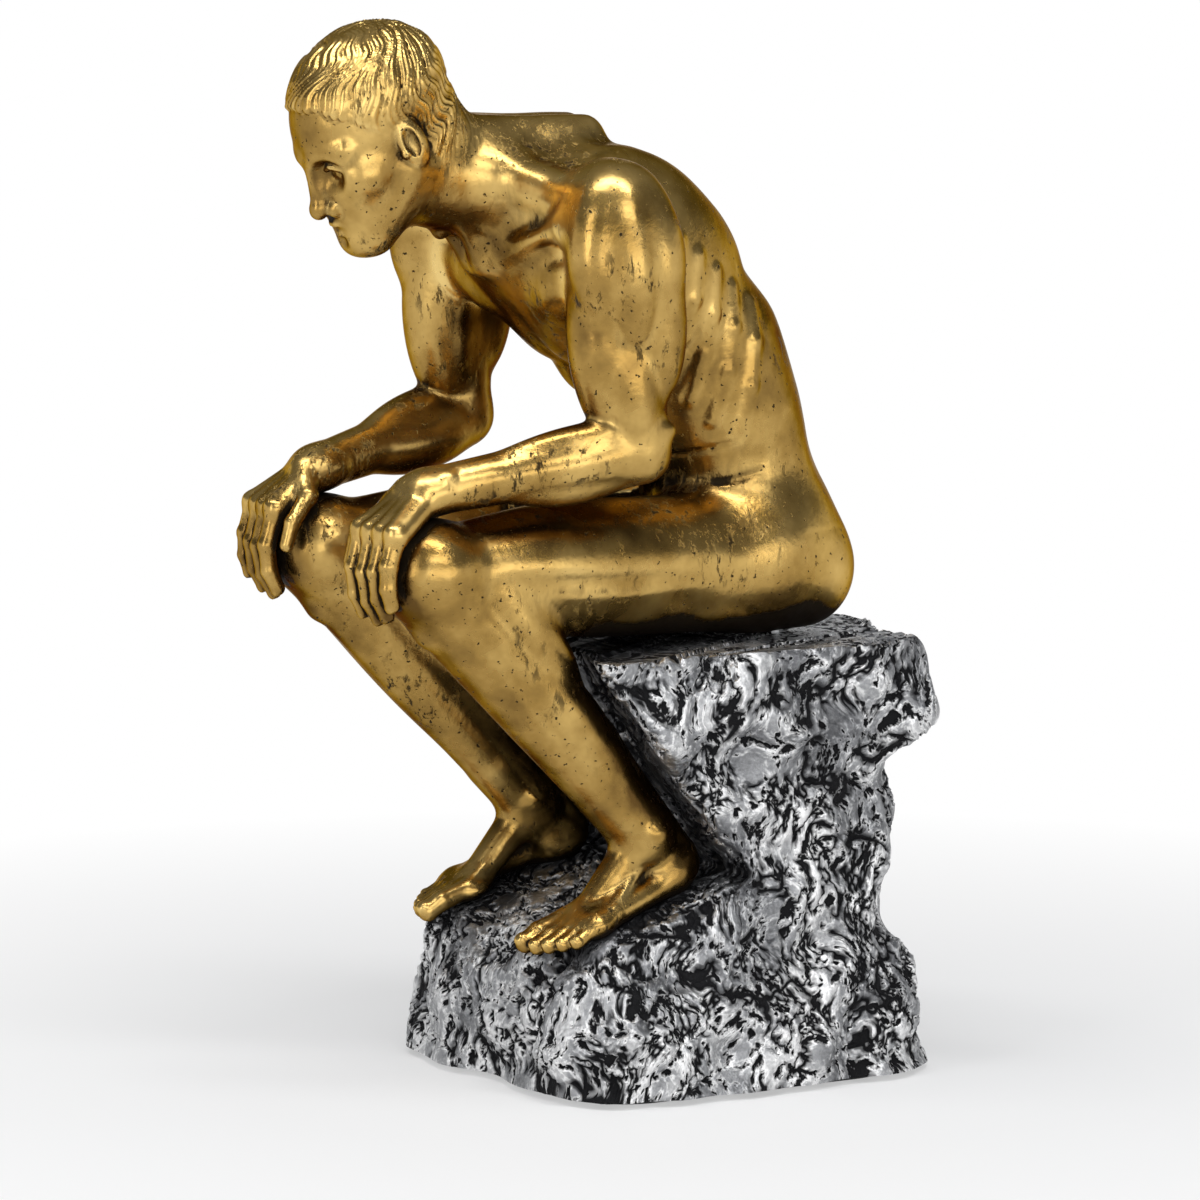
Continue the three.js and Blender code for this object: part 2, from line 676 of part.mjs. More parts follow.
function shankClay({ shank }) {
  const c = CALF_RADIUS;
  return new Clay()
    .add(bar(shank.a, shank.b, 0.86 * c, ANKLE_RADIUS), 5)
    .add(belly(shank, [0.04, -0.42 * c, -0.4 * c], [0.6, -0.5 * c, -0.26 * c], 0.56 * c, 0.64 * c), 3)
    .add(belly(shank, [0.04, -0.42 * c, 0.4 * c], [0.54, -0.5 * c, 0.3 * c], 0.52 * c, 0.58 * c), 3)
    .add(belly(shank, [0.22, -0.26 * c, 0], [0.84, -0.34 * c, 0], 0.78 * c, 0.5 * c), 4)
    .add(belly(shank, [0.04, 0.34 * c, 0.32 * c], [0.72, 0.3 * c, 0.12 * c], 0.4 * c, 0.36 * c), 3)
    .add(bar(shank.at(0.1, 0.62 * c, -0.08 * c), shank.at(0.92, 0.6 * ANKLE_RADIUS, -1), 2.6, 2.3), 3)
    .add(ball(shank.at(0.99, -0.6, 0.9 * ANKLE_RADIUS), 2.9), 2.5)
    .add(ball(shank.at(0.965, 0.6, -0.9 * ANKLE_RADIUS), 2.9), 2.5);
}

const legClay = (bones) => thighClay(bones).join(shankClay(bones), 5);

// Foot, from the ankle to the toes
const TOE_TIPS = [1, 0.985, 0.955, 0.915, 0.87];
const TOE_PLACES = [-0.66, -0.22, 0.12, 0.43, 0.72];
const TOE_RADII = [2.5, 1.95, 1.85, 1.75, 1.7];
function footClay({ shank, foot }) {
  const w = FOOT_HALF_WIDTH;
  const clay = new Clay()
    .add(bar(shank.at(0.84), shank.b, 1.05 * ANKLE_RADIUS, ANKLE_RADIUS))
    .add(bar(shank.b, foot.at(0.2, 5.4), 5.2, 5.4), 3)
    .add(egg(foot.at(0.15, 5), foot, 7, 5.8, 5.8), 3)
    .add(bar(shank.at(0.7, -0.6 * CALF_RADIUS), foot.at(0.06, 8), 2.5, 2.6), 3)
    .add(bar(shank.b, foot.at(0.64, 4, -1.5), 4.8, 3.6), 4)
    .add(bar(foot.at(0.2, 3.4, 2.4), foot.at(0.68, 2.8, 0.55 * w), 3.4, 2.8), 4)
    .add(egg(foot.at(0.7, 3), foot, 5.6, w, 3.2), 4);
  TOE_TIPS.forEach((tip, i) => {
    const radius = TOE_RADII[i];
    const start = foot.at(tip - 0.28, 3.6, 0.9 * TOE_PLACES[i] * w);
    const knuckle = foot.at(tip - 0.13, radius + 1, TOE_PLACES[i] * w);
    clay.add(bar(start, knuckle, radius), 1.6);
    clay.add(bar(knuckle, foot.at(tip, radius).addScaledVector(foot.side, TOE_PLACES[i] * w)
      .addScaledVector(foot.axis, -radius), radius), 0.6);
  });
  return clay;
}

// Arm, down to the wrist
function armClay({ upper, fore }) {
  const u = UPPER_ARM_RADIUS;
  const f = FOREARM_RADIUS;
  const elbowTip = upper.axis.clone().sub(fore.axis).normalize();
  return new Clay()
    .add(bar(upper.a, upper.b, 0.9 * u, ELBOW_RADIUS))
    .add(ball(upper.at(0.04, 0, 0.1 * u), 1.08 * u), 4)
    .add(belly(upper, [-0.16, 0, 0.3 * u], [0.54, 0, 0.36 * u], 1.25 * u, 0.95 * u), 5)
    .add(belly(upper, [0.16, 0.5 * u, 0], [0.95, 0.4 * u, 0], 0.78 * u, 0.66 * u), 3)
    .add(belly(upper, [0.1, -0.5 * u, 0.1 * u], [0.88, -0.42 * u, 0], 0.92 * u, 0.66 * u), 3)
    .add(belly(upper, [0.5, 0.1 * u, 0.42 * u], [0.98, 0.1 * u, 0.36 * u], 0.5 * u, 0.42 * u), 3)
    .add(ball(upper.b.clone().addScaledVector(elbowTip, 3.4), 3.4), 3)
    .add(bar(fore.a, fore.b, ELBOW_RADIUS, WRIST_RADIUS), 4)
    .add(belly(fore, [-0.14, 0.3 * f, 0.26 * f], [0.66, 0.28 * f, 0.12 * f], 0.72 * f, 0.56 * f), 3.5)
    .add(belly(fore, [-0.02, -0.34 * f, -0.28 * f], [0.66, -0.24 * f, -0.12 * f], 0.76 * f, 0.6 * f), 3.5)
    .add(egg(fore.at(0.98), fore, 7, 1.18 * WRIST_RADIUS, 0.86 * WRIST_RADIUS), 3);
}

// Hand, laid over the knee: each finger's joints follow the knee's round
const FINGER_ANGLES = [[3, -20, -37], [0, -25, -43], [2, -21, -38], [8, -11, -26]];
function handClay(leg, { fore }) {
  const clay = new Clay().add(egg(fore.at(0.98), fore, 7, 1.18 * WRIST_RADIUS, 0.86 * WRIST_RADIUS));
  FINGER_ANGLES.forEach((angles, i) => {
    const side = (i - 1.5) * FINGER_SPACING;
    const r = FINGER_RADIUS;
    const joints = [KNUCKLE_ANGLE, ...angles].map((angle, j) => overKnee(leg, angle, side, j ? 0 : 0.8));
    const wrist = fore.b.clone().addScaledVector(leg.thigh.side, 0.35 * side);
    clay.add(bar(wrist, joints[0], 1.6 * r, 1.35 * r), 2.4);
    clay.add(bar(joints[0], joints[1], 1.12 * r, r), 1);
    clay.add(bar(joints[1], joints[2], r, 0.94 * r), 0.5);
    clay.add(bar(joints[2], joints[3], 0.94 * r, 0.82 * r), 0.5);
  });
  const inner = -2.1 * FINGER_SPACING;
  const root = fore.b.clone().addScaledVector(leg.thigh.axis, 4).addScaledVector(leg.thigh.side, -2.6);
  const knuckle = overKnee(leg, 62, inner, -1.2);
  const joint = overKnee(leg, 30, inner - 2.6, -2.2);
  clay.add(bar(root, knuckle, 3, 2.3), 2.5);
  clay.add(bar(knuckle, joint, 2.1, 1.9), 1);
  clay.add(bar(joint, overKnee(leg, 6, inner - 2.8, -2.6), 1.9, 1.6), 0.5);
  return clay;
}

// Head: places are [forwards, up, sideways] from its middle, which lies level with the eyes
function headClay() {
  const middle = head.at(0.29, 3.5);
  const at = (front, up, side = 0) => middle.clone()
    .addScaledVector(head.front, front)
    .addScaledVector(head.axis, up)
    .addScaledVector(head.side, side);
  const clay = new Clay()
    .add(egg(at(-2.2, 7.5), head, 14.6, 14, 18))
    .add(egg(at(6, -5), head, 15, 11.4, 11.8), 7)
    .add(egg(at(10.5, -13.5), head, 6.5, 7.4, 7), 5)
    .add(egg(at(14.6, -18.4), head, 3.1, 4.4, 3.4), 4)
    .add(bar(at(16.2, 2), at(19.6, -6.6), 1.5, 1.7), 2.2)
    .add(ball(at(20.6, -7.6), 1.9), 1.4)
    .add(bar(at(16.5, -12, 2.6), at(16.5, -12, -2.6), 1.3), 1.6)
    .add(bar(at(16.2, -14.4, 2.2), at(16.2, -14.4, -2.2), 1.4), 1.2);
  for (const half of Object.values(SIDES)) {
    clay
      .add(bar(at(0.5, -8, half * 10.4), at(12, -18.5, half * 4), 3, 2.6), 5)
      .add(egg(at(10.4, -4.6, half * 9), head, 3, 4, 3.6), 4)
      .add(bar(at(15.4, 3.4, half * 2.6), at(12.2, 3.4, half * 9.4), 1.7, 1.6), 2.6)
      .carve(ball(at(17.6, -0.4, half * 5.9), 3.3), 2.4)
      .add(ball(at(12.4, -0.4, half * 5.7), 2.9), 0.8)
      .add(ball(at(17.6, -8.6, half * 2.5), 1.7), 1.4)
      .add(egg(at(-1.5, -2.6, half * 13.8), head, 6, 1.9, 3.7), 1.4);
  }
  const hair = new Clay()
    .add(egg(at(-2.4, 8), head, 15.6, 15.4, 19.4))
    .add(egg(at(-9.5, -5), head, 11, 11.4, 10.6), 6)
    .carve(halfSpace(at(HAIRLINE_FRONT, HAIRLINE_UP), head.front.clone().multiplyScalar(0.74)
      .addScaledVector(head.axis, -0.67)), 1.6);
  clay.add(hair.lump(), 0.5);
  return new Clay().add(enlarged(clay.lump(), middle, HEAD_UNIT)).join(new Clay().add(bar(neck.at(-0.25), neck.at(1.02, -1), 1.05 * NECK_RADIUS, NECK_RADIUS)), 5);
}

const legs = {};
const arms = {};
for (const [name, half] of Object.entries(SIDES)) {
  legs[name] = legBones(half);
  arms[name] = armBones(half, legs[name]);
}

// Rock: a seat on a narrower waist over a spreading skirt, cut away in front to leave a sloping ledge
const seatMiddleY = BASE_DEPTH / 2 - SEAT_FROM_BACK - SEAT_DEPTH / 2;
const waistMiddleY = BASE_DEPTH / 2 - WAIST_FROM_BACK - WAIST_DEPTH / 2;
const soleUp = legs.left.foot.front;
const heel = legs.left.foot.a.clone().setX(0);
const onLedge = (y) => vec(0, y, heel.z + (y - heel.y) * Math.tan(radians(LEDGE_SLOPE)));
const faceTop = vec(0, FACE_TOP_FROM_FRONT - BASE_DEPTH / 2, SEAT_HEIGHT);
const faceBottom = onLedge(heel.y + LEDGE_BEHIND_HEEL);
const faceOut = faceTop.clone().sub(faceBottom).cross(vec(-1, 0, 0)).normalize();

const RELIEF_WAVES = [
  { way: vec(0.9, 0.35, 0.25), wave: 38, shift: 0.4, height: BROAD_RELIEF },
  { way: vec(-0.3, 0.85, 0.45), wave: 31, shift: 2.1, height: BROAD_RELIEF },
  { way: vec(0.2, -0.4, 0.9), wave: 27, shift: 4.4, height: BROAD_RELIEF },
  { way: vec(0.7, -0.5, 0.5), wave: 17, shift: 1.3, height: CLOSE_RELIEF },
  { way: vec(-0.45, 0.35, 0.82), wave: 15, shift: 5.2, height: CLOSE_RELIEF },
  { way: vec(0.35, 0.88, -0.32), wave: 16, shift: 3.1, height: CLOSE_RELIEF },
];
function relief(p) {
  let height = 0;
  for (const { way, wave, shift, height: crest } of RELIEF_WAVES) {
    height += crest * Math.sin(2 * Math.PI * way.dot(p) / wave + shift);
  }
  return height;
}

function rockClay() {
  const upright = new Bone(vec(0, 0, 0), UP, FORWARD);
  const seatMiddle = vec(0, seatMiddleY, SEAT_HEIGHT + ROCK_RELIEF - SEAT_THICKNESS / 2);
  const waistMiddle = vec(0, waistMiddleY, SEAT_HEIGHT / 2);
  const stone = (middle, height, width, depth, round) =>
    brick(middle, upright, height / 2, width / 2, depth / 2, round);
  const overLedge = (p) => Math.max(
    faceOut.dot(faceBottom) - faceOut.dot(p),
    soleUp.dot(heel) - soleUp.dot(p),
  );
  const clay = new Clay()
    .add(stone(seatMiddle, SEAT_THICKNESS, SEAT_WIDTH, SEAT_DEPTH, SEAT_ROUND))
    .add(stone(waistMiddle, SEAT_HEIGHT, WAIST_WIDTH, WAIST_DEPTH, WAIST_ROUND), ROCK_BLEND)
    .add(stone(vec(0, 0, 0), 2 * SKIRT_HEIGHT, BASE_WIDTH - ROCK_RELIEF, BASE_DEPTH - ROCK_RELIEF, BASE_ROUND),
      ROCK_BLEND);
  const rough = {
    distance: (p) => clay.distance(p) - relief(p),
    reach: clay.reach().expandByScalar(ROCK_RELIEF),
  };
  const cut = new Clay().add(rough).carve({ distance: overLedge, reach: null }, FACE_BLEND);
  for (const bones of Object.values(legs)) cut.carve(shankClay(bones).lump(SHANK_ROOM), SHANK_ROOM_BLEND);
  return cut;
}

// Lap cloth: a sheet that follows the thighs and the belly, with a flap that hangs between the thighs
const clothHemY = HIP_FROM_CENTRE - HIP_SEAM_FROM_HIP - CLOTH_LENGTH;
function clothClay() {
  const lap = trunkClay();
  for (const bones of Object.values(legs)) lap.add(legClay(bones).lump(), CLOTH_SAG);
  const middle = FIT_GAP + SKIN_TOLERANCE + CLOTH_THICKNESS / 2;
  return new Clay().add({
    distance: (p) => Math.abs(lap.distance(p) - middle) - CLOTH_THICKNESS / 2,
    reach: lap.reach().expandByScalar(middle + CLOTH_THICKNESS),
  });
}

function clothOutline() {
  const w = CLOTH_HALF_WIDTH;
  const back = HIP_FROM_CENTRE;
  const hem = [[w, back], [w + 1, clothHemY + 14], [w - 2, clothHemY + 3], [0.55 * w, clothHemY + 1.5],
    [0.2 * w, clothHemY - 1], [0, clothHemY]];
  const other = hem.slice(0, -1).reverse().map(([x, y]) => [-x, y]);
  const curve = new THREE.SplineCurve([...hem, ...other].map(([x, y]) => new THREE.Vector2(x, y)));
  return new THREE.Shape(curve.getPoints(28));
}

// Dowels: a pin across each seam, and the slightly larger sockets that take it
const dowels = [];
function addDowel(name, middle, way, radius, depthBack, depthAhead) {
  const direction = way.clone().normalize();
  const turn = new THREE.Quaternion().setFromUnitVectors(vec(0, 1, 0), direction);
  const place = middle.clone().addScaledVector(direction, (depthAhead - depthBack) / 2);
  const length = depthBack + depthAhead;
  const roundBar = (r, l) => new THREE.CylinderGeometry(r, r, l, ROUND_SIDES);
  const bore = roundBar(radius + GLUE_GAP, length + 2 * GLUE_GAP);
  const socket = solidFrom(bore, new THREE.Matrix4().compose(place, turn, vec(1, 1, 1)));
  const pin = roundBar(radius, length);
  dowels.push({ name, socket, pin, place, turn });
}

const bored = (solid, names) => dowels
  .filter(({ name }) => names.includes(name))
  .reduce((rest, { socket }) => rest.subtract(socket), solid);

// Seams between castings
const hipSeamY = HIP_FROM_CENTRE - HIP_SEAM_FROM_HIP;
const creaseZ = hipCentre.z + CREASE_ABOVE_HIP;
const shoulderSeamX = SHOULDER_HALF_SPACING - SHOULDER_SEAM_INSET;
const armpitZ = arms.left.upper.a.z - ARMPIT_BELOW_SHOULDER;
const neckSeam = neck.at(NECK_SEAM_SHARE);
const halfGap = GLUE_GAP / 2;
const SPARE = 3;

addDowel('neck_dowel', neckSeam, neck.axis, DOWEL_RADIUS, DOWEL_DEPTH, DOWEL_DEPTH);
for (const [name, half] of Object.entries(SIDES)) {
  const { thigh, foot } = legs[name];
  const shoulder = arms[name].upper.a.clone().setX(half * shoulderSeamX);
  const hip = vec(half * HIP_HALF_SPACING, hipSeamY, hipCentre.z);
  const seat = vec(half * HIP_HALF_SPACING, HIP_FROM_CENTRE + SEAT_DOWEL_BEHIND_HIP, SEAT_HEIGHT);
  addDowel(`${name}_shoulder_dowel`, shoulder, vec(half, 0, 0), DOWEL_RADIUS, DOWEL_DEPTH, DOWEL_DEPTH);
  addDowel(`${name}_hip_dowel`, hip, thigh.axis, DOWEL_RADIUS, DOWEL_DEPTH, DOWEL_DEPTH);
  addDowel(`${name}_seat_dowel`, seat, UP, DOWEL_RADIUS, SEAT_DOWEL_DEPTH, DOWEL_DEPTH);
  addDowel(`${name}_foot_pin`, foot.at(0.2), soleUp, FOOT_PIN_RADIUS, FOOT_PIN_DEPTH, FOOT_PIN_DEPTH);
}

// Castings of the figure. A swollen leg or trunk is the cutter that makes room for it in its neighbours.
function legSolid(name, half, swell, tolerance) {
  const bones = legs[name];
  const gap = GLUE_GAP - swell;
  const clay = pelvisClay()
    .join(legClay(bones), 7)
    .join(footClay(bones), 3)
    .carve(halfSpace(vec(0, hipSeamY + SPARE, 0), vec(0, 1, 0)))
    .carve(halfSpace(vec(-SPARE * half, 0, 0), vec(-half, 0, 0)));
  const overSeat = block(
    vec(-FAR, hipSeamY - THIGH_ON_SEAT, SEAT_HEIGHT - THIGH_SINK),
    vec(FAR, FAR, SEAT_HEIGHT + gap),
  );
  return skin(clay, LEG_FACET, swell, tolerance)
    .intersect(beyond(vec(half * gap / 2, 0, 0), vec(half, 0, 0)))
    .subtract(beyond(vec(0, hipSeamY - gap / 2, 0), vec(0, 1, 0)))
    .subtract(beyond(vec(0, 0, creaseZ - gap / 2), UP))
    .intersect(beyond(heel.clone().addScaledVector(soleUp, gap), soleUp))
    .subtract(overSeat);
}

// The shoulder's cap: the part of a ball round the shoulder that lies outside the seam
function shoulderCap(name, half, swell) {
  const round = new THREE.SphereGeometry(SHOULDER_CAP_RADIUS + swell, 2 * ROUND_SIDES, ROUND_SIDES);
  const seam = vec(half * (shoulderSeamX - swell), 0, 0);
  return solidFrom(round, new THREE.Matrix4().setPosition(arms[name].upper.a))
    .intersect(beyond(seam, vec(half, 0, 0)));
}

// An arm's clay outside the shoulder seam
function limbSolid(clay, half, facet, swell, tolerance) {
  const inside = beyond(vec(half * (shoulderSeamX + halfGap - swell), 0, 0), vec(-half, 0, 0))
    .intersect(beyond(vec(0, 0, armpitZ), UP));
  return skin(clay, facet, swell, tolerance).subtract(inside);
}

function armSolid(name, half) {
  const { upper } = arms[name];
  const limb = armClay(arms[name]).join(handClay(legs[name], arms[name]), 3);
  const shoulder = chestClay()
    .join(armClay(arms[name]), 6)
    .carve({ distance: (p) => SHOULDER_CAP_RADIUS + SPARE - upper.a.distanceTo(p), reach: null });
  return limbSolid(limb, half, ARM_FACET, 0, SKIN_TOLERANCE)
    .add(skin(shoulder, 2 * ARM_FACET).intersect(shoulderCap(name, half, -halfGap)))
    .subtract(legCutters[name]);
}

function trunkClayWhole() {
  const clay = trunkClay().join(neckClay(), 7);
  for (const name of Object.keys(SIDES)) {
    clay.add(ball(arms[name].upper.a, 1.2 * UPPER_ARM_RADIUS), 6);
    clay.join(new Clay(legClay(legs[name]).lumps.slice(0, 2)), 7);
  }
  const lapCorner = (p) => Math.max(p.y - hipSeamY + SPARE, p.z - creaseZ + SPARE);
  return clay.carve({ distance: lapCorner, reach: null });
}

function trunkSolid() {
  let solid = skin(trunkClayWhole(), TRUNK_FACET)
    .intersect(beyond(vec(0, 0, SEAT_HEIGHT + GLUE_GAP), UP))
    .subtract(beyond(neckSeam.clone().addScaledVector(neck.axis, -halfGap), neck.axis))
    .subtract(block(vec(-FAR, -FAR, 0), vec(FAR, hipSeamY + halfGap, creaseZ + halfGap)));
  for (const [name, half] of Object.entries(SIDES)) {
    solid = solid
      .subtract(shoulderCap(name, half, halfGap))
      .subtract(limbSolid(armClay(arms[name]), half, 2 * ARM_FACET, FIT_GAP, CUTTER_TOLERANCE));
  }
  return solid;
}

function headSolid() {
  return skin(headClay(), HEAD_FACET)
    .intersect(beyond(neckSeam.clone().addScaledVector(neck.axis, halfGap), neck.axis));
}

function clothSolid() {
  const low = creaseZ - CLOTH_DROP;
  const depth = CLOTH_DROP + CLOTH_RISE;
  const column = new THREE.ExtrudeGeometry(clothOutline(), { depth, bevelEnabled: false });
  return skin(clothClay(), CLOTH_FACET)
    .intersect(solidFrom(column, new THREE.Matrix4().setPosition(0, 0, low)));
}

function rockSolid() {
  const justOverLedge = beyond(heel, soleUp)
    .subtract(beyond(heel.clone().addScaledVector(soleUp, SPARE), soleUp))
    .intersect(beyond(faceBottom, faceOut));
  return skin(rockClay(), ROCK_FACET, 0, ROCK_TOLERANCE)
    .intersect(block(vec(-FAR, -FAR, FELT_THICKNESS + GLUE_GAP), vec(FAR, FAR, SEAT_HEIGHT)))
    .subtract(justOverLedge);
}

function feltGeometry() {
  const x = BASE_WIDTH / 2 - FELT_INSET - FELT_CORNER;
  const y = BASE_DEPTH / 2 - FELT_INSET - FELT_CORNER;
  const turn = Math.PI / 2;
  const outline = new THREE.Shape()
    .absarc(x, y, FELT_CORNER, 0, turn)
    .absarc(-x, y, FELT_CORNER, turn, 2 * turn)
    .absarc(-x, -y, FELT_CORNER, 2 * turn, 3 * turn)
    .absarc(x, -y, FELT_CORNER, 3 * turn, 4 * turn);
  return new THREE.ExtrudeGeometry(outline, { depth: FELT_THICKNESS, bevelEnabled: false, curveSegments: 8 });
}

const legCutters = {};
for (const [name, half] of Object.entries(SIDES))
  legCutters[name] = legSolid(name, half, FIT_GAP, CUTTER_TOLERANCE);

const meshes = new THREE.Group();
const gold = { color: 0xa67a2c, roughness: 0.36, metalness: 0.85 };
const silver = { color: 0x9b9da0, roughness: 0.45, metalness: 0.8 };
const steel = { color: 0xb8babd, roughness: 0.3, metalness: 1 };
const felt = { color: 0x1f211f, roughness: 0.95, metalness: 0 };

function addMesh(name, geometry, finish) {
  const mesh = new THREE.Mesh(geometry, new THREE.MeshStandardMaterial(finish));
  mesh.name = name;
  meshes.add(mesh);
  return mesh;
}

const seatDowels = ['left_seat_dowel', 'right_seat_dowel'];
const trunkDowels = [
  'neck_dowel',
  'left_shoulder_dowel',
  'right_shoulder_dowel',
  'left_hip_dowel',
  'right_hip_dowel',
];
const footPins = ['left_foot_pin', 'right_foot_pin'];
addMesh('rock_base', geometryFrom(bored(rockSolid(), [...seatDowels, ...footPins])), silver);
addMesh('felt_pad', feltGeometry(), felt);
addMesh('torso', geometryFrom(bored(trunkSolid(), [...trunkDowels, ...seatDowels])), gold);
addMesh('head', geometryFrom(bored(headSolid(), ['neck_dowel'])), gold);
addMesh('lap_cloth', geometryFrom(clothSolid()), gold);
for (const [name, half] of Object.entries(SIDES)) {
  const leg = bored(legSolid(name, half, 0, SKIN_TOLERANCE), [`${name}_hip_dowel`, `${name}_foot_pin`]);
  const arm = bored(armSolid(name, half), [`${name}_shoulder_dowel`]);
  addMesh(`${name}_leg`, geometryFrom(leg), gold);
  addMesh(`${name}_arm`, geometryFrom(arm), gold);
}
for (const { name, pin, place, turn } of dowels) {
  const mesh = addMesh(name, pin, steel);
  mesh.position.copy(place);
  mesh.quaternion.copy(turn);
}

export default meshes;
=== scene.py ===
# The looks of a table ornament: a gilt seated figure on a silvered rock, both of cast resin.
# Shapes are worked out in millimetres and made in metres. +Z is up, and the figure faces -Y.
import math

import bmesh
import bpy
import numpy as np
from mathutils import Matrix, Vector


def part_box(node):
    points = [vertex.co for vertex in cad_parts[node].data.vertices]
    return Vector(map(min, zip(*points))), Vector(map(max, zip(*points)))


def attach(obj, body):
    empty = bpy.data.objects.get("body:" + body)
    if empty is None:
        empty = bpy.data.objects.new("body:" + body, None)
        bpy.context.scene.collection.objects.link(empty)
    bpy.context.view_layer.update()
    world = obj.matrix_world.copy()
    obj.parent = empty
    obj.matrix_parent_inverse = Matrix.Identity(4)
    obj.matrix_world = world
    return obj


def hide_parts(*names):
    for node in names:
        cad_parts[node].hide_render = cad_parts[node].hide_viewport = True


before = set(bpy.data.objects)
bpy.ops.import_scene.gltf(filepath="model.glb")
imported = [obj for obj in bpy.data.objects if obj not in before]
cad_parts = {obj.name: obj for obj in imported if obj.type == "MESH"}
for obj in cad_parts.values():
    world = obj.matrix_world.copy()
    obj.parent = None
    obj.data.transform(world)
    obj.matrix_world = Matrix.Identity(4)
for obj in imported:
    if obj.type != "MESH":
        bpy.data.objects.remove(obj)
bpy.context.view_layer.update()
MM = 0.001

# Rock
BASE_WIDTH = 100
BASE_DEPTH = 100
BASE_ROUND = 14
SKIRT_HEIGHT = 28
SEAT_HEIGHT = 104.5
SEAT_WIDTH = 93
SEAT_DEPTH = 92
SEAT_THICKNESS = 26
SEAT_ROUND = 6
SEAT_FROM_BACK = 2
WAIST_WIDTH = 86
WAIST_DEPTH = 89
WAIST_FROM_BACK = 7
WAIST_ROUND = 12
LEDGE_SLOPE = 18
LEDGE_BEHIND_HEEL = 4
FACE_TOP_FROM_FRONT = 3
FACE_BLEND = 6
ROCK_BLEND = 12
ROCK_RELIEF = 3
BROAD_RELIEF = 0.75
CLOSE_RELIEF = 0.55
SHANK_ROOM = 2.5
SHANK_ROOM_BLEND = 8
ROCK_UNDERSIDE = 1.5
ROCK_MIDDLE_HEIGHT = 50
ROCK_REACH = 120

# Felt sheet under the rock
FELT_HALF_SIDE = 43
FELT_CORNER = 16
FELT_CORNER_STEPS = 12
FELT_THICKNESS = 1.2
FELT_EDGE = 0.35

# Figure: joint to joint lengths
HIP_FROM_CENTRE = 13
HIP_HEIGHT = 16.5
HIP_HALF_SPACING = 17
PELVIS_LENGTH = 37
LOIN_LENGTH = 40
CHEST_LENGTH = 32
NECK_LENGTH = 26
SHOULDER_HALF_SPACING = 39
UPPER_ARM_LENGTH = 56
FOREARM_LENGTH = 50
THIGH_LENGTH = 92
SHANK_LENGTH = 87
ANKLE_HEIGHT = 15.5
FOOT_LENGTH = 50
HEEL_BEHIND_ANKLE = 12.5
HEAD_HEIGHT = 46
HEAD_UNIT = 1.06

# Figure: girths, as half sizes
CHEST_HALF_WIDTH = 31
CHEST_HALF_DEPTH = 24.5
LOIN_HALF_WIDTH = 25.5
LOIN_HALF_DEPTH = 19.5
PELVIS_HALF_WIDTH = 33
PELVIS_HALF_DEPTH = 22
BACK_RADIUS = 16.5
BACK_HALF_SPACING = 9
NECK_RADIUS = 12.6
THIGH_RADIUS = 18
KNEE_RADIUS = 11
CALF_RADIUS = 13.8
ANKLE_RADIUS = 6.4
FOOT_HALF_WIDTH = 9.2
UPPER_ARM_RADIUS = 12.4
ELBOW_RADIUS = 7.3
FOREARM_RADIUS = 10.2
WRIST_RADIUS = 5.4
FINGER_RADIUS = 2.2
FINGER_SPACING = 4.5

# Figure: pose, in degrees
PELVIS_LEAN = 6
LOIN_LEAN = 36
CHEST_LEAN = 58
NECK_LEAN = 80
HEAD_BOW = 30
THIGH_SPREAD = 6
THIGH_RISE = 3
SHANK_TUCK = 41
TOE_OUT = 5
ELBOW_FLARE = 18

# Seams between castings
HIP_SEAM_FROM_HIP = 16
CREASE_ABOVE_HIP = 19
NECK_SEAM_SHARE = 0.42
CONTACT = 0.05
SHOULDER_BLEND = 8
HIP_BLEND = 6
NECK_BLEND = 4.5
ANKLE_BLEND = 2.4
WRIST_BLEND = 2

# Lap cloth
CLOTH_THICKNESS = 2.0
CLOTH_HALF_WIDTH = 25
CLOTH_LENGTH = 34
CLOTH_RISE = 7.5
CLOTH_SAG = 24
CLOTH_CORNER = 6
BROAD_FOLD = 0.55
FINE_FOLD = 0.3
CLOTH_STAND_OFF = 0.75
CLOTH_RIM_BLEND = 1.4
CLOTH_BELOW_CREASE = 8
CLOTH_REACH = 62

# Facets of the skins
TRUNK_FACET = 0.62
LEG_FACET = 0.5
ARM_FACET = 0.42
HEAD_FACET = 0.32
CLOTH_FACET = 0.45
ROCK_FACET = 0.82

SIDES = (("left", 1), ("right", -1))


def vec(x, y, z):
    return np.array((x, y, z), dtype=float)


def unit(v):
    return v / np.linalg.norm(v)


FORWARD = vec(0, -1, 0)
UP = vec(0, 0, 1)


# A bone runs from a to b. Its front is square to it, and its side points outwards on the body's half.
class Bone:
    def __init__(self, a, b, front, half=1):
        self.a = a
        self.b = b
        self.length = np.linalg.norm(b - a)
        self.axis = (b - a) / self.length
        self.front = unit(front - front.dot(self.axis) * self.axis)
        self.side = np.cross(self.axis, self.front)
        if self.side[0] * half < 0:
            self.side = -self.side

    def at(self, share, front=0.0, side=0.0):
        return self.a + share * self.length * self.axis + front * self.front + side * self.side


# A lump of clay: a signed distance for points in columns, and the ball that holds it.
class Lump:
    def __init__(self, distance, middle=None, radius=np.inf):
        self.distance = distance
        self.middle = np.zeros(3) if middle is None else middle
        self.radius = radius


# A round bar whose radius tapers from one end to the other.
def bar(a, b, radius_a, radius_b=None):
    radius_b = radius_a if radius_b is None else radius_b
    axis = b - a
    squared = max(axis.dot(axis), 1e-9)

    def distance(p, near):
        q = p - a[:, None]
        share = np.clip(axis @ q / squared, 0, 1)
        q = q - axis[:, None] * share
        return np.sqrt((q * q).sum(axis=0)) - radius_a - (radius_b - radius_a) * share

    return Lump(distance, (a + b) / 2, math.sqrt(squared) / 2 + max(radius_a, radius_b))


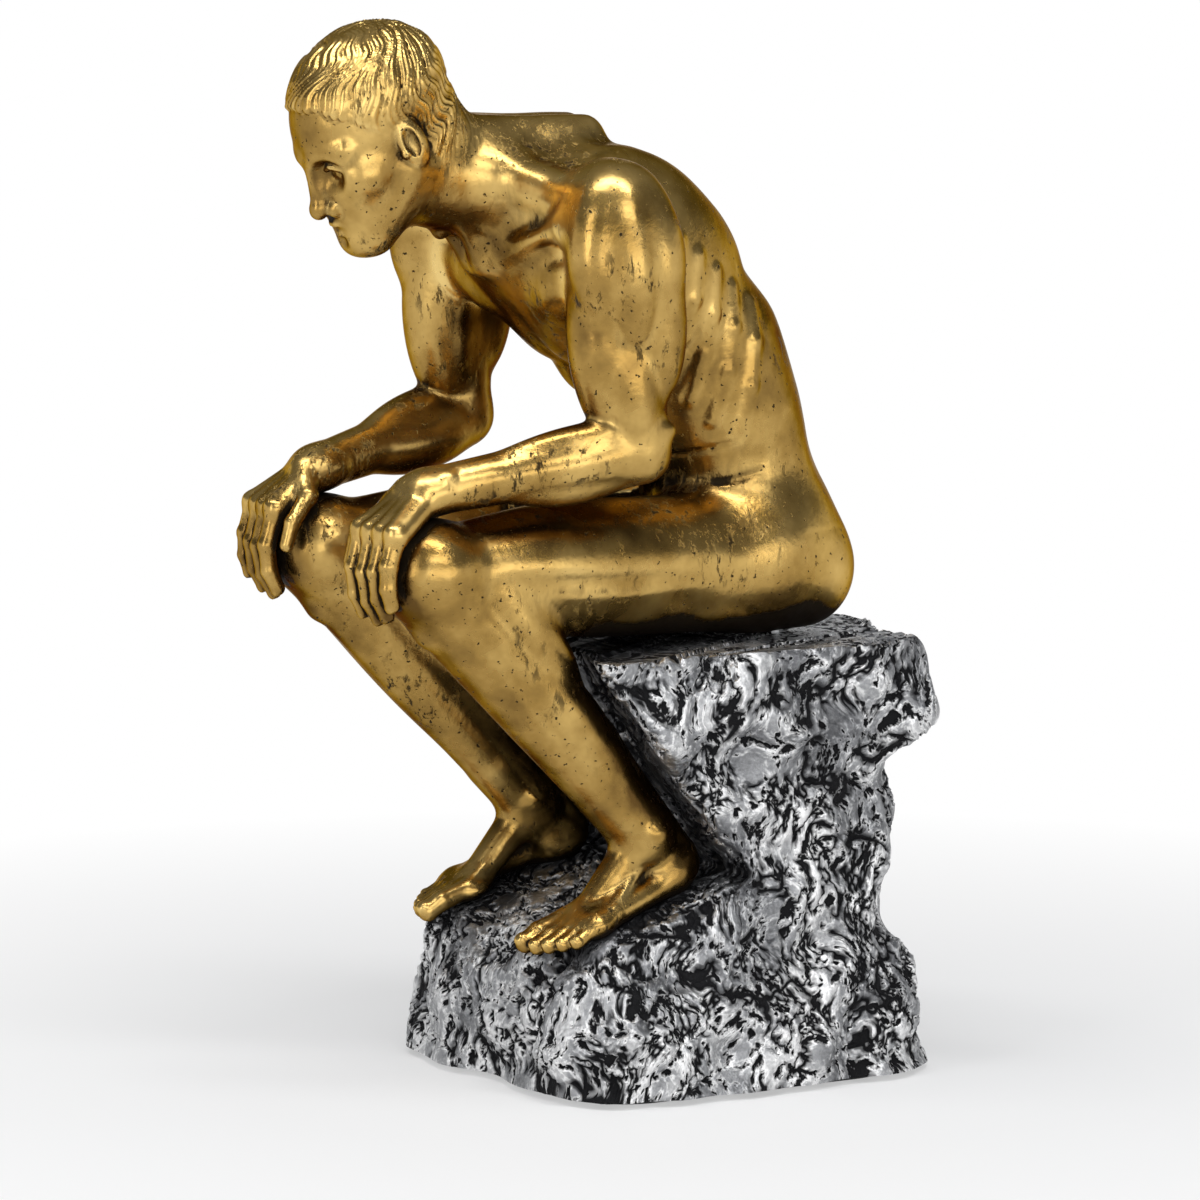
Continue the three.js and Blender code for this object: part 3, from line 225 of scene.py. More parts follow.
def ball(centre, radius):
    return bar(centre, centre, radius)


# An ellipsoid along a bone's axis, with its depth towards the bone's front.
def egg(centre, bone, half_length, half_width, half_depth):
    across = unit(np.cross(bone.axis, bone.front))
    turn = np.array((bone.axis, across, bone.front))
    sizes = np.array((half_length, half_width, half_depth))[:, None]
    deepest = min(half_length, half_width, half_depth)

    def distance(p, near):
        q = turn @ (p - centre[:, None]) / sizes
        scaled = np.sqrt((q * q).sum(axis=0))
        q = q / sizes
        slope = np.sqrt((q * q).sum(axis=0))
        return np.maximum(scaled * (scaled - 1) / np.maximum(slope, 1e-6), -deepest)

    return Lump(distance, centre, max(half_length, half_width, half_depth))


# A brick with rounded edges, laid like the ellipsoid.
def brick(centre, bone, half_length, half_width, half_depth, round_):
    across = unit(np.cross(bone.axis, bone.front))
    turn = np.array((bone.axis, across, bone.front))
    half = np.array((half_length, half_width, half_depth))[:, None] - round_

    def distance(p, near):
        q = np.abs(turn @ (p - centre[:, None])) - half
        out = np.maximum(q, 0)
        return np.minimum(q.max(axis=0), 0) + np.sqrt((out * out).sum(axis=0)) - round_

    return Lump(distance, centre, float(np.linalg.norm(half)) + 2 * round_)


# A muscle's belly between two places on a bone, each given as (share, front, side).
def belly(bone, start, end, half_width, half_depth):
    a = bone.at(*start)
    b = bone.at(*end)
    outward = (start[1] + end[1]) * bone.front + (start[2] + end[2]) * bone.side
    facing = outward if outward.dot(outward) > 1e-6 else bone.front
    return egg((a + b) / 2, Bone(a, b, facing), np.linalg.norm(b - a) / 2, half_width, half_depth)


def blended(a, b, blend):
    if blend <= 0:
        return np.minimum(a, b)
    near = np.maximum(blend - np.abs(a - b), 0) / blend
    return np.minimum(a, b) - near * near * blend / 4


# Clay is a list of lumps, each blended into what is there already.
OUT_OF_REACH = 60.0
CULL_MARGIN = 6.0


class Clay:
    def __init__(self):
        self.lumps = []

    def add(self, lump, blend=0.0):
        self.lumps.append((lump, blend, 1))
        return self

    def carve(self, lump, blend=0.0):
        self.lumps.append((lump, blend, -1))
        return self

    # Lumps too far from the ball `near`, which holds the points, are passed over.
    def distance(self, p, near=None):
        total = np.full(p.shape[1], OUT_OF_REACH)
        for lump, blend, sign in self.lumps:
            if near is not None:
                gap = np.linalg.norm(lump.middle - near[0]) - lump.radius - near[1]
                if gap > blend + CULL_MARGIN:
                    continue
            total = sign * blended(sign * total, lump.distance(p, near), blend)
        return total

    # The whole as one lump, grown by `swell`
    def lump(self, swell=0.0):
        low, high = self.reach()
        radius = np.linalg.norm(high - low) / 2 + abs(swell)
        return Lump(lambda p, near: self.distance(p, near) - swell, (low + high) / 2, radius)

    def reach(self):
        solid = [lump for lump, _, sign in self.lumps if sign > 0]
        low = np.min([lump.middle - lump.radius for lump in solid], axis=0)
        high = np.max([lump.middle + lump.radius for lump in solid], axis=0)
        return low, high


# Where a line that comes in from far off along `way` meets the clay
MOST_STEPS = 60
STEP_SHARE = 0.7
ON_SKIN = 0.01


def meets(clay, start, way):
    p = np.array(start, dtype=float)
    for _ in range(MOST_STEPS):
        step = float(clay.distance(p[:, None])[0])
        if step < ON_SKIN:
            break
        p = p + STEP_SHARE * step * way
    return p


# Field values for any number of points, worked out cell by cell so that far lumps are passed over.
# Values up to `reach` are right, and larger ones are at least as large as that.
SAMPLE_CELL = 9.0
MOST_CELLS = 1000


def sampled(clay, points, reach=0.0):
    cell = np.floor(points / SAMPLE_CELL).astype(int)
    cell -= cell.min(axis=0)
    key = (cell[:, 0] * MOST_CELLS + cell[:, 1]) * MOST_CELLS + cell[:, 2]
    order = np.argsort(key, kind="stable")
    cuts = np.flatnonzero(np.diff(key[order])) + 1
    values = np.empty(len(points))
    for group in np.split(order, cuts):
        p = points[group].T
        low = p.min(axis=1)
        high = p.max(axis=1)
        near = ((low + high) / 2, np.linalg.norm(high - low) / 2 + reach)
        values[group] = clay.distance(p, near)
    return values


# The field at every node of a grid. A block of nodes far from the skin takes its middle's value, and the
# grid's outer nodes are outside, which closes the skin.
BLOCK = 16
FIELD_SLACK = 1.35


def grid_depth(clay, low, count, facet):
    depth = np.full(count, OUT_OF_REACH, dtype=np.float32)
    starts = np.array([(i, j, k) for i in range(0, count[0], BLOCK)
                       for j in range(0, count[1], BLOCK) for k in range(0, count[2], BLOCK)])
    middles = low + facet * (starts + (BLOCK - 1) / 2)
    coarse = clay.distance(middles.T)
    radius = facet * (BLOCK - 1) / 2 * math.sqrt(3)
    for start, middle, value in zip(starts, middles, coarse):
        stop = np.minimum(start + BLOCK, count)
        window = tuple(slice(a, b) for a, b in zip(start, stop))
        if abs(value) > FIELD_SLACK * radius + facet:
            depth[window] = value
            continue
        nodes = np.stack(np.meshgrid(*[np.arange(a, b) for a, b in zip(start, stop)], indexing="ij"))
        p = low[:, None] + facet * nodes.reshape(3, -1)
        depth[window] = clay.distance(p, (middle, radius)).reshape(stop - start)

    for axis in range(3):
        rim = np.moveaxis(depth, axis, 0)
        rim[0] = np.maximum(rim[0], facet)
        rim[-1] = np.maximum(rim[-1], facet)
    return depth


CELL_CORNERS = [(i, j, k) for i in (0, 1) for j in (0, 1) for k in (0, 1)]


# Where the skin's point lies in each cell: the mean of the places where the skin crosses the cell's edges
def cell_places(depth, cells):
    place = np.zeros((len(cells), 3))
    crossings = np.zeros(len(cells))
    for axis in range(3):
        for offset in CELL_CORNERS:
            if offset[axis]:
                continue
            here = cells + offset
            there = here.copy()
            there[:, axis] += 1
            d0 = depth[tuple(here.T)]
            d1 = depth[tuple(there.T)]
            crosses = (d0 < 0) != (d1 < 0)
            share = d0[crosses] / (d0[crosses] - d1[crosses])
            step = np.tile(np.array(offset, dtype=float), (len(share), 1))
            step[:, axis] += share
            place[crosses] += step
            crossings[crosses] += 1
    return place / crossings[:, None]


# The four cells round each grid edge that the skin crosses, in an order that faces outwards
def cell_rings(inside, number):
    count = inside.shape
    quads = []
    for axis in range(3):
        b = (axis + 1) % 3
        c = (axis + 2) % 3
        size = list(count)
        size[axis] -= 1
        first = inside[tuple(slice(0, s) for s in size)]
        shifted = [slice(0, s) for s in size]
        shifted[axis] = slice(1, size[axis] + 1)
        second = inside[tuple(shifted)]
        edges = np.argwhere(first != second)
        ok = (edges[:, b] > 0) & (edges[:, c] > 0)
        ok &= (edges[:, b] < count[b] - 1) & (edges[:, c] < count[c] - 1)
        edges = edges[ok]
        ring = []
        for back_b, back_c in ((1, 1), (0, 1), (0, 0), (1, 0)):
            cell = edges.copy()
            cell[:, b] -= back_b
            cell[:, c] -= back_c
            ring.append(number[tuple(cell.T)])
        ring = np.stack(ring, axis=1)
        flip = ~inside[tuple(edges.T)]
        ring[flip] = ring[flip][:, ::-1]
        quads.append(ring)
    return np.concatenate(quads)


# Wraps clay in a closed skin of triangles about one facet wide. Gives points and triangles.
def skin(clay, low, high, facet):
    low = np.array(low, dtype=float)
    count = np.ceil((np.array(high) - low) / facet).astype(int) + 1
    depth = grid_depth(clay, low, count, facet)
    inside = depth < 0
    total = sum(inside[i:i + count[0] - 1, j:j + count[1] - 1, k:k + count[2] - 1].astype(np.int8)
                for i, j, k in CELL_CORNERS)
    mixed = (total > 0) & (total < len(CELL_CORNERS))
    cells = np.argwhere(mixed)
    number = np.full(mixed.shape, -1, dtype=np.int64)
    number[mixed] = np.arange(len(cells))
    points = low + facet * (cells + cell_places(depth, cells))
    quads = cell_rings(inside, number)
    gap_ac = np.linalg.norm(points[quads[:, 0]] - points[quads[:, 2]], axis=1)
    gap_bd = np.linalg.norm(points[quads[:, 1]] - points[quads[:, 3]], axis=1)
    short_ac = gap_ac <= gap_bd
    q = quads[short_ac]
    r = quads[~short_ac]
    triangles = np.concatenate([q[:, (0, 1, 2)], q[:, (0, 2, 3)], r[:, (0, 1, 3)], r[:, (1, 2, 3)]])
    return points, triangles


# Drops the side of a skin where `beyond` is positive. The cut edge follows beyond = 0, and is left open.
def clipped(points, triangles, beyond):
    value = beyond(points.T)
    value = np.where(np.abs(value) < 1e-6, -1e-6, value)
    out = value > 0
    count = out[triangles].sum(axis=1)
    whole = triangles[count == 0]
    new_points = [points]
    total = len(points)
    edge_of = {}

    def crossing(a, b):
        nonlocal total
        key = (a, b) if a < b else (b, a)
        if key not in edge_of:
            p, q = points[key[0]], points[key[1]]
            vp, vq = value[key[0]], value[key[1]]
            new_points.append((p + (q - p) * vp / (vp - vq))[None, :])
            edge_of[key] = total
            total += 1
        return edge_of[key]

    made = []
    for tri in triangles[(count == 1) | (count == 2)]:
        odd = [i for i in range(3) if out[tri[i]] != out[tri[i - 1]] and out[tri[i]] != out[tri[i - 2]]][0]
        a, b, c = tri[odd], tri[(odd + 1) % 3], tri[(odd + 2) % 3]
        ab = crossing(a, b)
        ca = crossing(c, a)
        if out[a]:
            made.append((ab, b, c))
            made.append((ab, c, ca))
        else:
            made.append((a, ab, ca))
    points = np.concatenate(new_points)
    triangles = np.concatenate([whole, np.array(made, dtype=np.int64).reshape(-1, 3)])
    used = np.unique(triangles)
    renumber = np.full(len(points), -1)
    renumber[used] = np.arange(len(used))
    return points[used], renumber[triangles]


# Skeleton of the trunk
def up_leaning(degrees):
    return vec(0, -math.sin(math.radians(degrees)), math.cos(math.radians(degrees)))


def spine_bone(start, length, lean):
    return Bone(start, start + length * up_leaning(lean), FORWARD)


hip_centre = vec(0, HIP_FROM_CENTRE, SEAT_HEIGHT + HIP_HEIGHT)
pelvis = spine_bone(hip_centre, PELVIS_LENGTH, PELVIS_LEAN)
loin = spine_bone(pelvis.b, LOIN_LENGTH, LOIN_LEAN)
chest = spine_bone(loin.b, CHEST_LENGTH, CHEST_LEAN)
neck = spine_bone(chest.at(1.06, -2), NECK_LENGTH, NECK_LEAN)
head = spine_bone(neck.b, HEAD_HEIGHT, HEAD_BOW)


# Skeleton of the legs, and the height of a hand over the knee
HAND_GAP = 0.3
HAND_LIFT = 1.9


class Leg:
    def __init__(self, half):
        hip = vec(half * HIP_HALF_SPACING, hip_centre[1], hip_centre[2])
        spread = math.radians(THIGH_SPREAD)
        rise = math.radians(THIGH_RISE)
        thighway = unit(vec(half * math.sin(spread), -math.cos(spread), math.tan(rise)))
        knee = hip + THIGH_LENGTH * thighway
        tuck = math.radians(SHANK_TUCK)
        ankle = knee + SHANK_LENGTH * vec(0, math.sin(tuck), -math.cos(tuck))
        slope = math.radians(LEDGE_SLOPE)
        toe_out = math.radians(TOE_OUT)
        sole_up = vec(0, -math.sin(slope), math.cos(slope))
        outward = half * math.sin(toe_out)
        toeward = unit(vec(outward, -math.cos(toe_out) * math.cos(slope), -math.sin(slope)))
        heel = ankle - ANKLE_HEIGHT * sole_up - HEEL_BEHIND_ANKLE * toeward
        self.thigh = Bone(hip, knee, UP, half)
        self.shank = Bone(knee, ankle, FORWARD, half)
        self.foot = Bone(heel, heel + FOOT_LENGTH * toeward, sole_up, half)

    # A place at an angle round the knee, at the height of a hand laid on it
    def over_knee(self, degrees, side=0.0, lift=0.0):
        reach = KNEE_RADIUS + HAND_GAP + HAND_LIFT * FINGER_RADIUS + lift
        turn = math.radians(degrees)
        thigh = self.thigh
        return (thigh.b + reach * math.cos(turn) * thigh.axis + reach * math.sin(turn) * thigh.front
                + side * thigh.side)


# Skeleton of the arms: the hand lies on the knee, and the elbow follows from the two lengths.
KNUCKLE_ANGLE = 34
WRIST_ANGLE = 86
WRIST_LIFT = 2.6


class Arm:
    def __init__(self, half, leg):
        shoulder = chest.at(0.86, -4, half * SHOULDER_HALF_SPACING)
        wrist = leg.over_knee(WRIST_ANGLE, 0, WRIST_LIFT)
        flare = math.radians(ELBOW_FLARE)
        line = Bone(shoulder, wrist, vec(half * math.sin(flare), math.cos(flare), 0))
        foot = (UPPER_ARM_LENGTH ** 2 - FOREARM_LENGTH ** 2 + line.length ** 2) / (2 * line.length)
        bow = math.sqrt(max(UPPER_ARM_LENGTH ** 2 - foot ** 2, 0))
        elbow = line.at(foot / line.length, bow)
        self.upper = Bone(shoulder, elbow, wrist - elbow, half)
        self.fore = Bone(elbow, wrist, UP, half)


legs = {name: Leg(half) for name, half in SIDES}
arms = {name: Arm(half, legs[name]) for name, half in SIDES}


# Chest, with ribs, breast muscles, shoulder blades and collar bones
def chest_clay():
    d = CHEST_HALF_DEPTH
    clay = Clay()
    clay.add(egg(chest.at(0.12), chest, 31, CHEST_HALF_WIDTH, d))
    clay.add(egg(chest.at(0.78, -1.5), chest, 13, 1.06 * CHEST_HALF_WIDTH, 0.72 * d), 9)
    for _, half in SIDES:
        w = half * CHEST_HALF_WIDTH
        clay.add(bar(chest.at(0.7, -0.2 * d, 0.86 * w), loin.at(0.35, -6, 0.52 * w), 8.5, 4.5), 6)
        clay.add(belly(chest, (-0.5, -0.64 * d, 0.48 * w), (0.78, -0.66 * d, 0.6 * w), 9.5, 5), 6)
        clay.add(bar(chest.at(0.5, -0.84 * d, 0.3 * w), chest.at(0.95, -0.42 * d, 1.0 * w), 1.6, 2.0), 3.5)
        clay.add(belly(chest, (0.18, 0.66 * d, 0.1 * w), (0.6, 0.52 * d, 1.0 * w), 10.8, 6.6), 2.6)
        clay.add(belly(chest, (0.52, 0.6 * d, 0.12 * w), (0.72, 0.46 * d, 1.0 * w), 6.5, 5.6), 2.6)
        clay.add(bar(neck.at(0.35, -4, half * 4), chest.at(1.02, -2, 1.0 * w), 6.5, 4.2), 6)
        clay.add(bar(chest.at(0.95, 0.62 * d, half * 2.5), chest.at(1.06, 0.2 * d, 1.05 * w), 1.9), 2.4)
        clay.carve(bar(chest.at(0.66, -1.1 * d, 0.18 * w), chest.at(-0.2, -1.02 * d, 0.4 * w), 1.8), 4)
    clay.carve(bar(chest.at(0.8, 1.0 * d), chest.at(-0.15, 1.12 * d), 1.7), 4)
    return clay


# Loin, with the belly's muscle pads and the navel
def loin_clay():
    w = LOIN_HALF_WIDTH
    d = LOIN_HALF_DEPTH
    clay = Clay()
    clay.add(egg(loin.at(0.05), loin, 25, w, d))
    clay.add(egg(loin.at(0, 0.45 * d), loin, 20, 0.75 * w, 0.6 * d), 8)
    for _, half in SIDES:
        clay.add(belly(loin, (-0.5, 2, 0.75 * half * w), (0.5, 2, 0.78 * half * w), 11, 6), 4)
        for i in range(4):
            clay.add(egg(loin.at(0.92 - 0.36 * i, 0.93 * d, half * 5.6), loin, 6.2, 5.6, 4.2), 1.6)
    clay.carve(ball(loin.at(0.04, 1.24 * d), 1.4), 1.6)
    return clay


# Back: two columns of muscle that bend with the spine
def back_clay():
    clay = Clay()
    for _, half in SIDES:
        side = half * BACK_HALF_SPACING
        low = pelvis.at(0.35, -6, side)
        middle = loin.at(0.35, -5, side)
        high = chest.at(0.2, -5, side)
        clay.add(bar(low, middle, BACK_RADIUS), 6)
        clay.add(bar(middle, high, BACK_RADIUS), 6)
        inner = 0.62 * side
        cord_middle = loin.at(0.35, -5 - 0.9 * BACK_RADIUS, inner)
        clay.add(bar(pelvis.at(0.5, -6 - 0.82 * BACK_RADIUS, inner), cord_middle, 3.4, 3.8), 3)
        clay.add(bar(cord_middle, chest.at(0.2, -5 - 0.85 * BACK_RADIUS, inner), 3.8, 2.6), 3)
    return clay


def pelvis_clay():
    w = PELVIS_HALF_WIDTH
    d = PELVIS_HALF_DEPTH
    clay = Clay()
    clay.add(egg(pelvis.at(0.12, -1.5), pelvis, 19, w, d))
    for _, half in SIDES:
        clay.add(egg(pelvis.at(-0.08, -0.62 * d, half * 0.5 * w), pelvis, 15, 14, 13), 4.5)
    clay.carve(bar(pelvis.at(0.34, -1.2 * d), pelvis.at(-0.5, -1.36 * d), 2.0), 3.5)
    return clay


def neck_clay():
    clay = Clay()
    clay.add(bar(neck.at(-0.25), neck.at(1.02, -1), 1.05 * NECK_RADIUS, NECK_RADIUS))
    for _, half in SIDES:
        notch = chest.at(1, 0.66 * CHEST_HALF_DEPTH, half * 2.2)
        clay.add(bar(neck.at(0.95, -2, half * 8.4), notch, 2.6, 1.9), 2)
        nape = chest.at(0.8, -0.9 * CHEST_HALF_DEPTH, half * 4)
        clay.add(bar(neck.at(1, -9, half * 3.4), nape, 4.4, 4), 4)
    clay.add(ball(neck.at(0.62, 0.98 * NECK_RADIUS), 1.7), 2.4)
    return clay


# Furrow of the back, with the knobs of the spine along it
FURROW = (pelvis.at(0.75, -24.2), loin.at(0.31, -25.2), chest.at(0.6, -CHEST_HALF_DEPTH - 1.8))
FURROW_RADIUS = 4.5
FURROW_BLEND = 7
KNOBS = 5
KNOB_RADIUS = 2.2
KNOB_INSET = 6.0
KNOB_BLEND = 3.2

# Ribs: where each starts along the chest, and the degrees from the side to the front of its points
RIB_STARTS = (0.14, -0.08, -0.3, -0.52, -0.74)
RIB_TURNS = (-14, 4, 22, 42)
RIB_SLANT = 0.13
RIB_RADIUS = 1.7
RIB_SINK = 1.1
RIB_BLEND = 1.5

# Creases of the waist: where each ends along the loin, and the degrees from the side of its points
WAIST_CREASES = ((0.05, -0.06), (-0.14, -0.3))
WAIST_TURNS = (62, 46, 30, 16)
CREASE_RADIUS = 0.6
CREASE_LIFT = 0.1
CREASE_FADE = 0.6
CREASE_BLEND = 1.1

# How far off a line starts on its way in to the skin
OUTSIDE_TRUNK = 55
BEFORE_CHEST = 50


# A place on one flank: `along` the bone, and turned from the side towards the front
def on_flank(clay, bone, along, degrees, half):
    turned = math.radians(degrees)
    out = half * math.cos(turned) * bone.side + math.sin(turned) * bone.front
    return meets(clay, bone.at(along) + OUTSIDE_TRUNK * out, -out), out


# A rib slants down from the back to the front, more than half sunk in the skin.
def add_ribs(clay):
    bare = Clay().add(clay.lump())
    for _, half in SIDES:
        for start in RIB_STARTS:
            places = []
            for step, degrees in enumerate(RIB_TURNS):
                place, out = on_flank(bare, chest, start - RIB_SLANT * step, degrees, half)
                places.append(place - RIB_SINK * out)
            for a, b in zip(places, places[1:]):
                clay.add(bar(a, b, RIB_RADIUS), RIB_BLEND)


# Creases of the waist, which fade towards the back
def carve_waist(clay):
    bare = Clay().add(clay.lump())
    for _, half in SIDES:
        for front_end, back_end in WAIST_CREASES:
            places = []
            for step, degrees in enumerate(WAIST_TURNS):
                share = step / (len(WAIST_TURNS) - 1)
                along = front_end + (back_end - front_end) * share
                place, out = on_flank(bare, loin, along, degrees, half)
                places.append(place + (CREASE_LIFT + CREASE_FADE * share) * out)
            for a, b in zip(places, places[1:]):
                clay.carve(bar(a, b, CREASE_RADIUS), CREASE_BLEND)


def trunk_clay():
    clay = Clay()
    clay.add(chest_clay().lump())
    clay.add(loin_clay().lump(), 8)
    clay.add(back_clay().lump(), 9)
    clay.add(pelvis_clay().lump(), 11)
    add_ribs(clay)
    carve_waist(clay)
    for _, half in SIDES:
        breast = chest.at(0.16, BEFORE_CHEST, half * 0.5 * CHEST_HALF_WIDTH)
        clay.add(ball(meets(clay, breast, -chest.front), 1.0), 0.9)
    for low, high in zip(FURROW, FURROW[1:]):
        clay.carve(bar(low, high, FURROW_RADIUS), FURROW_BLEND)
    for _, half in SIDES:
        clay.carve(ball(pelvis.at(0.66, -20.5, half * 8), 1.4), 4)
    for low, high in zip(FURROW, FURROW[1:]):
        inward = unit(np.cross(vec(1, 0, 0), high - low))
        for i in range(KNOBS):
            knob = low + (i + 0.5) / KNOBS * (high - low)
            clay.add(ball(knob + KNOB_INSET * inward, KNOB_RADIUS), KNOB_BLEND)
    clay.add(neck_clay().lump(), 7)
    return clay


# Muscles of the limbs, as rows of (start, end, half width, half depth, blend). A start or end is (share of
# the bone, front, side). Fronts, sides, widths and depths are shares of the limb's radius.
THIGH_MUSCLES = (
    ((0.03, 0.38, 0.1), (0.9, 0.36, 0.02), 0.52, 0.52, 3),
    ((0.1, 0.12, 0.5), (0.97, 0.1, 0.38), 0.62, 0.5, 2.4),
    ((0.45, 0.12, -0.34), (1.03, 0.14, -0.38), 0.48, 0.42, 2.4),
    ((-0.05, -0.1, -0.4), (0.62, -0.15, -0.26), 0.72, 0.52, 3.5),
    ((0, -0.42, 0.16), (0.98, -0.36, 0.24), 0.5, 0.5, 3),
    ((0, -0.42, -0.2), (0.98, -0.36, -0.26), 0.5, 0.5, 3),
)
SHANK_MUSCLES = (
    ((0.04, -0.42, -0.4), (0.6, -0.5, -0.26), 0.56, 0.64, 2),
    ((0.04, -0.42, 0.4), (0.54, -0.5, 0.3), 0.52, 0.58, 2),
    ((0.22, -0.26, 0.1), (0.84, -0.34, 0.08), 0.78, 0.5, 2.5),
    ((0.04, 0.34, 0.32), (0.72, 0.3, 0.12), 0.4, 0.36, 2),
    ((0.06, 0.02, 0.62), (0.74, -0.02, 0.4), 0.3, 0.3, 1.8),
)
UPPER_ARM_MUSCLES = (
    ((-0.11, 0.34, 0.2), (0.52, 0.3, 0.36), 0.7, 0.82, 3),
    ((-0.13, -0.04, 0.36), (0.6, 0, 0.4), 0.62, 0.84, 1.8),
    ((-0.09, -0.42, 0.18), (0.52, -0.3, 0.36), 0.68, 0.8, 1.8),
    ((0.16, 0.5, 0.04), (0.95, 0.42, 0), 0.74, 0.68, 2),
    ((0.12, -0.5, 0.34), (0.8, -0.44, 0.2), 0.58, 0.6, 2),
    ((0.08, -0.52, -0.3), (0.84, -0.44, -0.16), 0.62, 0.62, 2),
    ((0.5, 0.1, 0.44), (0.98, 0.1, 0.38), 0.46, 0.42, 2),
)
FOREARM_MUSCLES = (
    ((-0.18, 0.34, 0.3), (0.64, 0.34, 0.06), 0.5, 0.56, 2.2),
    ((-0.06, 0.02, 0.4), (0.7, 0.04, 0.3), 0.5, 0.5, 1.8),
    ((-0.02, -0.34, -0.28), (0.66, -0.24, -0.12), 0.72, 0.6, 2.2),
)


def add_muscles(clay, bone, radius, rows):
    for start, end, half_width, half_depth, blend in rows:
        places = [(share, front * radius, side * radius) for share, front, side in (start, end)]
        clay.add(belly(bone, *places, half_width * radius, half_depth * radius), blend)


# Thigh, knee and shank
def leg_clay(leg):
    thigh, shank = leg.thigh, leg.shank
    r = THIGH_RADIUS
    kneecapway = 0.86 * thigh.axis + 0.5 * thigh.front
    kneecap = thigh.b + (KNEE_RADIUS - 1) * kneecapway
    clay = Clay()
    clay.add(bar(thigh.a, thigh.b, 0.96 * r, 0.95 * KNEE_RADIUS))
    add_muscles(clay, thigh, r, THIGH_MUSCLES)
    clay.carve(bar(thigh.at(0.16, -0.1 * r, 1.1 * r), thigh.at(0.9, -0.14 * r, 0.84 * r), 1.2), 3.2)
    clay.add(bar(thigh.at(1, 0, 3.4), thigh.at(1, 0, -3.4), 0.92 * KNEE_RADIUS), 3.4)
    for side in (6.2, -6.2):
        clay.add(ball(thigh.at(0.98, -0.4, side), 5.6), 2.4)
    clay.add(egg(kneecap, Bone(kneecap, kneecap + shank.axis, kneecapway), 5.4, 4.9, 2.8), 2)
    clay.add(bar(kneecap, shank.at(0.13, 0.68 * CALF_RADIUS), 2.5, 2.5), 2.2)
    clay.add(shank_clay(leg).lump(), 3.4)
    return clay


def shank_clay(leg):
    shank = leg.shank
    c = CALF_RADIUS
    clay = Clay()
    clay.add(bar(shank.a, shank.b, 0.86 * c, ANKLE_RADIUS))
    add_muscles(clay, shank, c, SHANK_MUSCLES)
    clay.add(bar(shank.at(0.1, 0.62 * c, -0.08 * c), shank.at(0.92, 0.6 * ANKLE_RADIUS, -1), 2.4, 2.1), 2.4)
    clay.add(ball(shank.at(0.99, -0.6, 0.9 * ANKLE_RADIUS), 2.9), 1.8)
    clay.add(ball(shank.at(0.965, 0.6, -0.9 * ANKLE_RADIUS), 2.9), 1.8)
    return clay


# Foot, from the ankle to the toes: each toe has a knuckle, a tip and a nail
TOE_TIPS = (1, 0.985, 0.955, 0.915, 0.87)
TOE_PLACES = (-0.66, -0.22, 0.12, 0.43, 0.72)
TOE_RADII = (2.5, 1.95, 1.85, 1.75, 1.7)


def foot_clay(leg):
    shank, foot = leg.shank, leg.foot
    w = FOOT_HALF_WIDTH
    clay = Clay()
    clay.add(bar(shank.at(0.84), shank.b, 1.05 * ANKLE_RADIUS, ANKLE_RADIUS))
    clay.add(bar(shank.b, foot.at(0.2, 5.4), 5.2, 5.4), 3)
    clay.add(egg(foot.at(0.15, 5), foot, 7, 5.8, 5.8), 3)
    clay.add(bar(shank.at(0.7, -0.6 * CALF_RADIUS), foot.at(0.06, 8), 2.4, 2.5), 2.4)
    clay.add(bar(shank.b, foot.at(0.64, 4, -1.5), 4.8, 3.6), 4)
    clay.add(bar(foot.at(0.2, 3.4, 2.4), foot.at(0.68, 2.8, 0.55 * w), 3.4, 2.8), 3)
    clay.add(egg(foot.at(0.7, 3), foot, 5.6, w, 3.2), 3.4)
    for tip, place, radius in zip(TOE_TIPS, TOE_PLACES, TOE_RADII):
        start = foot.at(tip - 0.28, 3.6, 0.9 * place * w)
        knuckle = foot.at(tip - 0.13, radius + 1, place * w)
        end = foot.at(tip, radius, place * w) - radius * foot.axis
        clay.add(bar(foot.at(0.34, 9.4, 0.3 * place * w), start + 1.2 * foot.front, 0.9, 0.8), 1.6)
        clay.add(bar(start, knuckle, radius), 1.2)
        clay.add(bar(knuckle, end, 0.96 * radius, radius), 0.5)
        nail = end + 0.66 * radius * foot.front + 0.42 * radius * foot.axis
        lying = Bone(nail, nail + foot.axis - 0.45 * foot.front, foot.front)
        clay.add(egg(nail, lying, 0.72 * radius, 0.66 * radius, 0.42 * radius), 0.1)
    return clay


# Arm, down to the wrist
def arm_clay(arm):
    upper, fore = arm.upper, arm.fore
    u = UPPER_ARM_RADIUS
    elbow_tip = unit(upper.axis - fore.axis)
    clay = Clay()
    clay.add(bar(upper.a, upper.b, 0.88 * u, 0.96 * ELBOW_RADIUS))
    clay.add(ball(upper.at(0.09, 0, 0.06 * u), 0.98 * u), 4)
    add_muscles(clay, upper, u, UPPER_ARM_MUSCLES)
    clay.add(ball(upper.b + 3.4 * elbow_tip, 3.2), 2.4)
    clay.add(bar(fore.a, fore.b, ELBOW_RADIUS, WRIST_RADIUS), 3)
    add_muscles(clay, fore, FOREARM_RADIUS, FOREARM_MUSCLES)
    clay.add(bar(upper.b + 4 * elbow_tip, fore.at(0.94, -1, 3.4), 1.6, 1.5), 2)
    clay.add(egg(fore.at(0.98), fore, 7, 1.18 * WRIST_RADIUS, 0.86 * WRIST_RADIUS), 2.4)
    clay.add(ball(fore.at(0.9, 2.6, 3.6), 1.9), 1.6)
    return clay


# Hand, laid over the knee: each finger's joints follow the knee's round, and each tip has a nail
FINGER_ANGLES = ((3, -20, -37), (0, -25, -43), (2, -21, -38), (8, -11, -26))


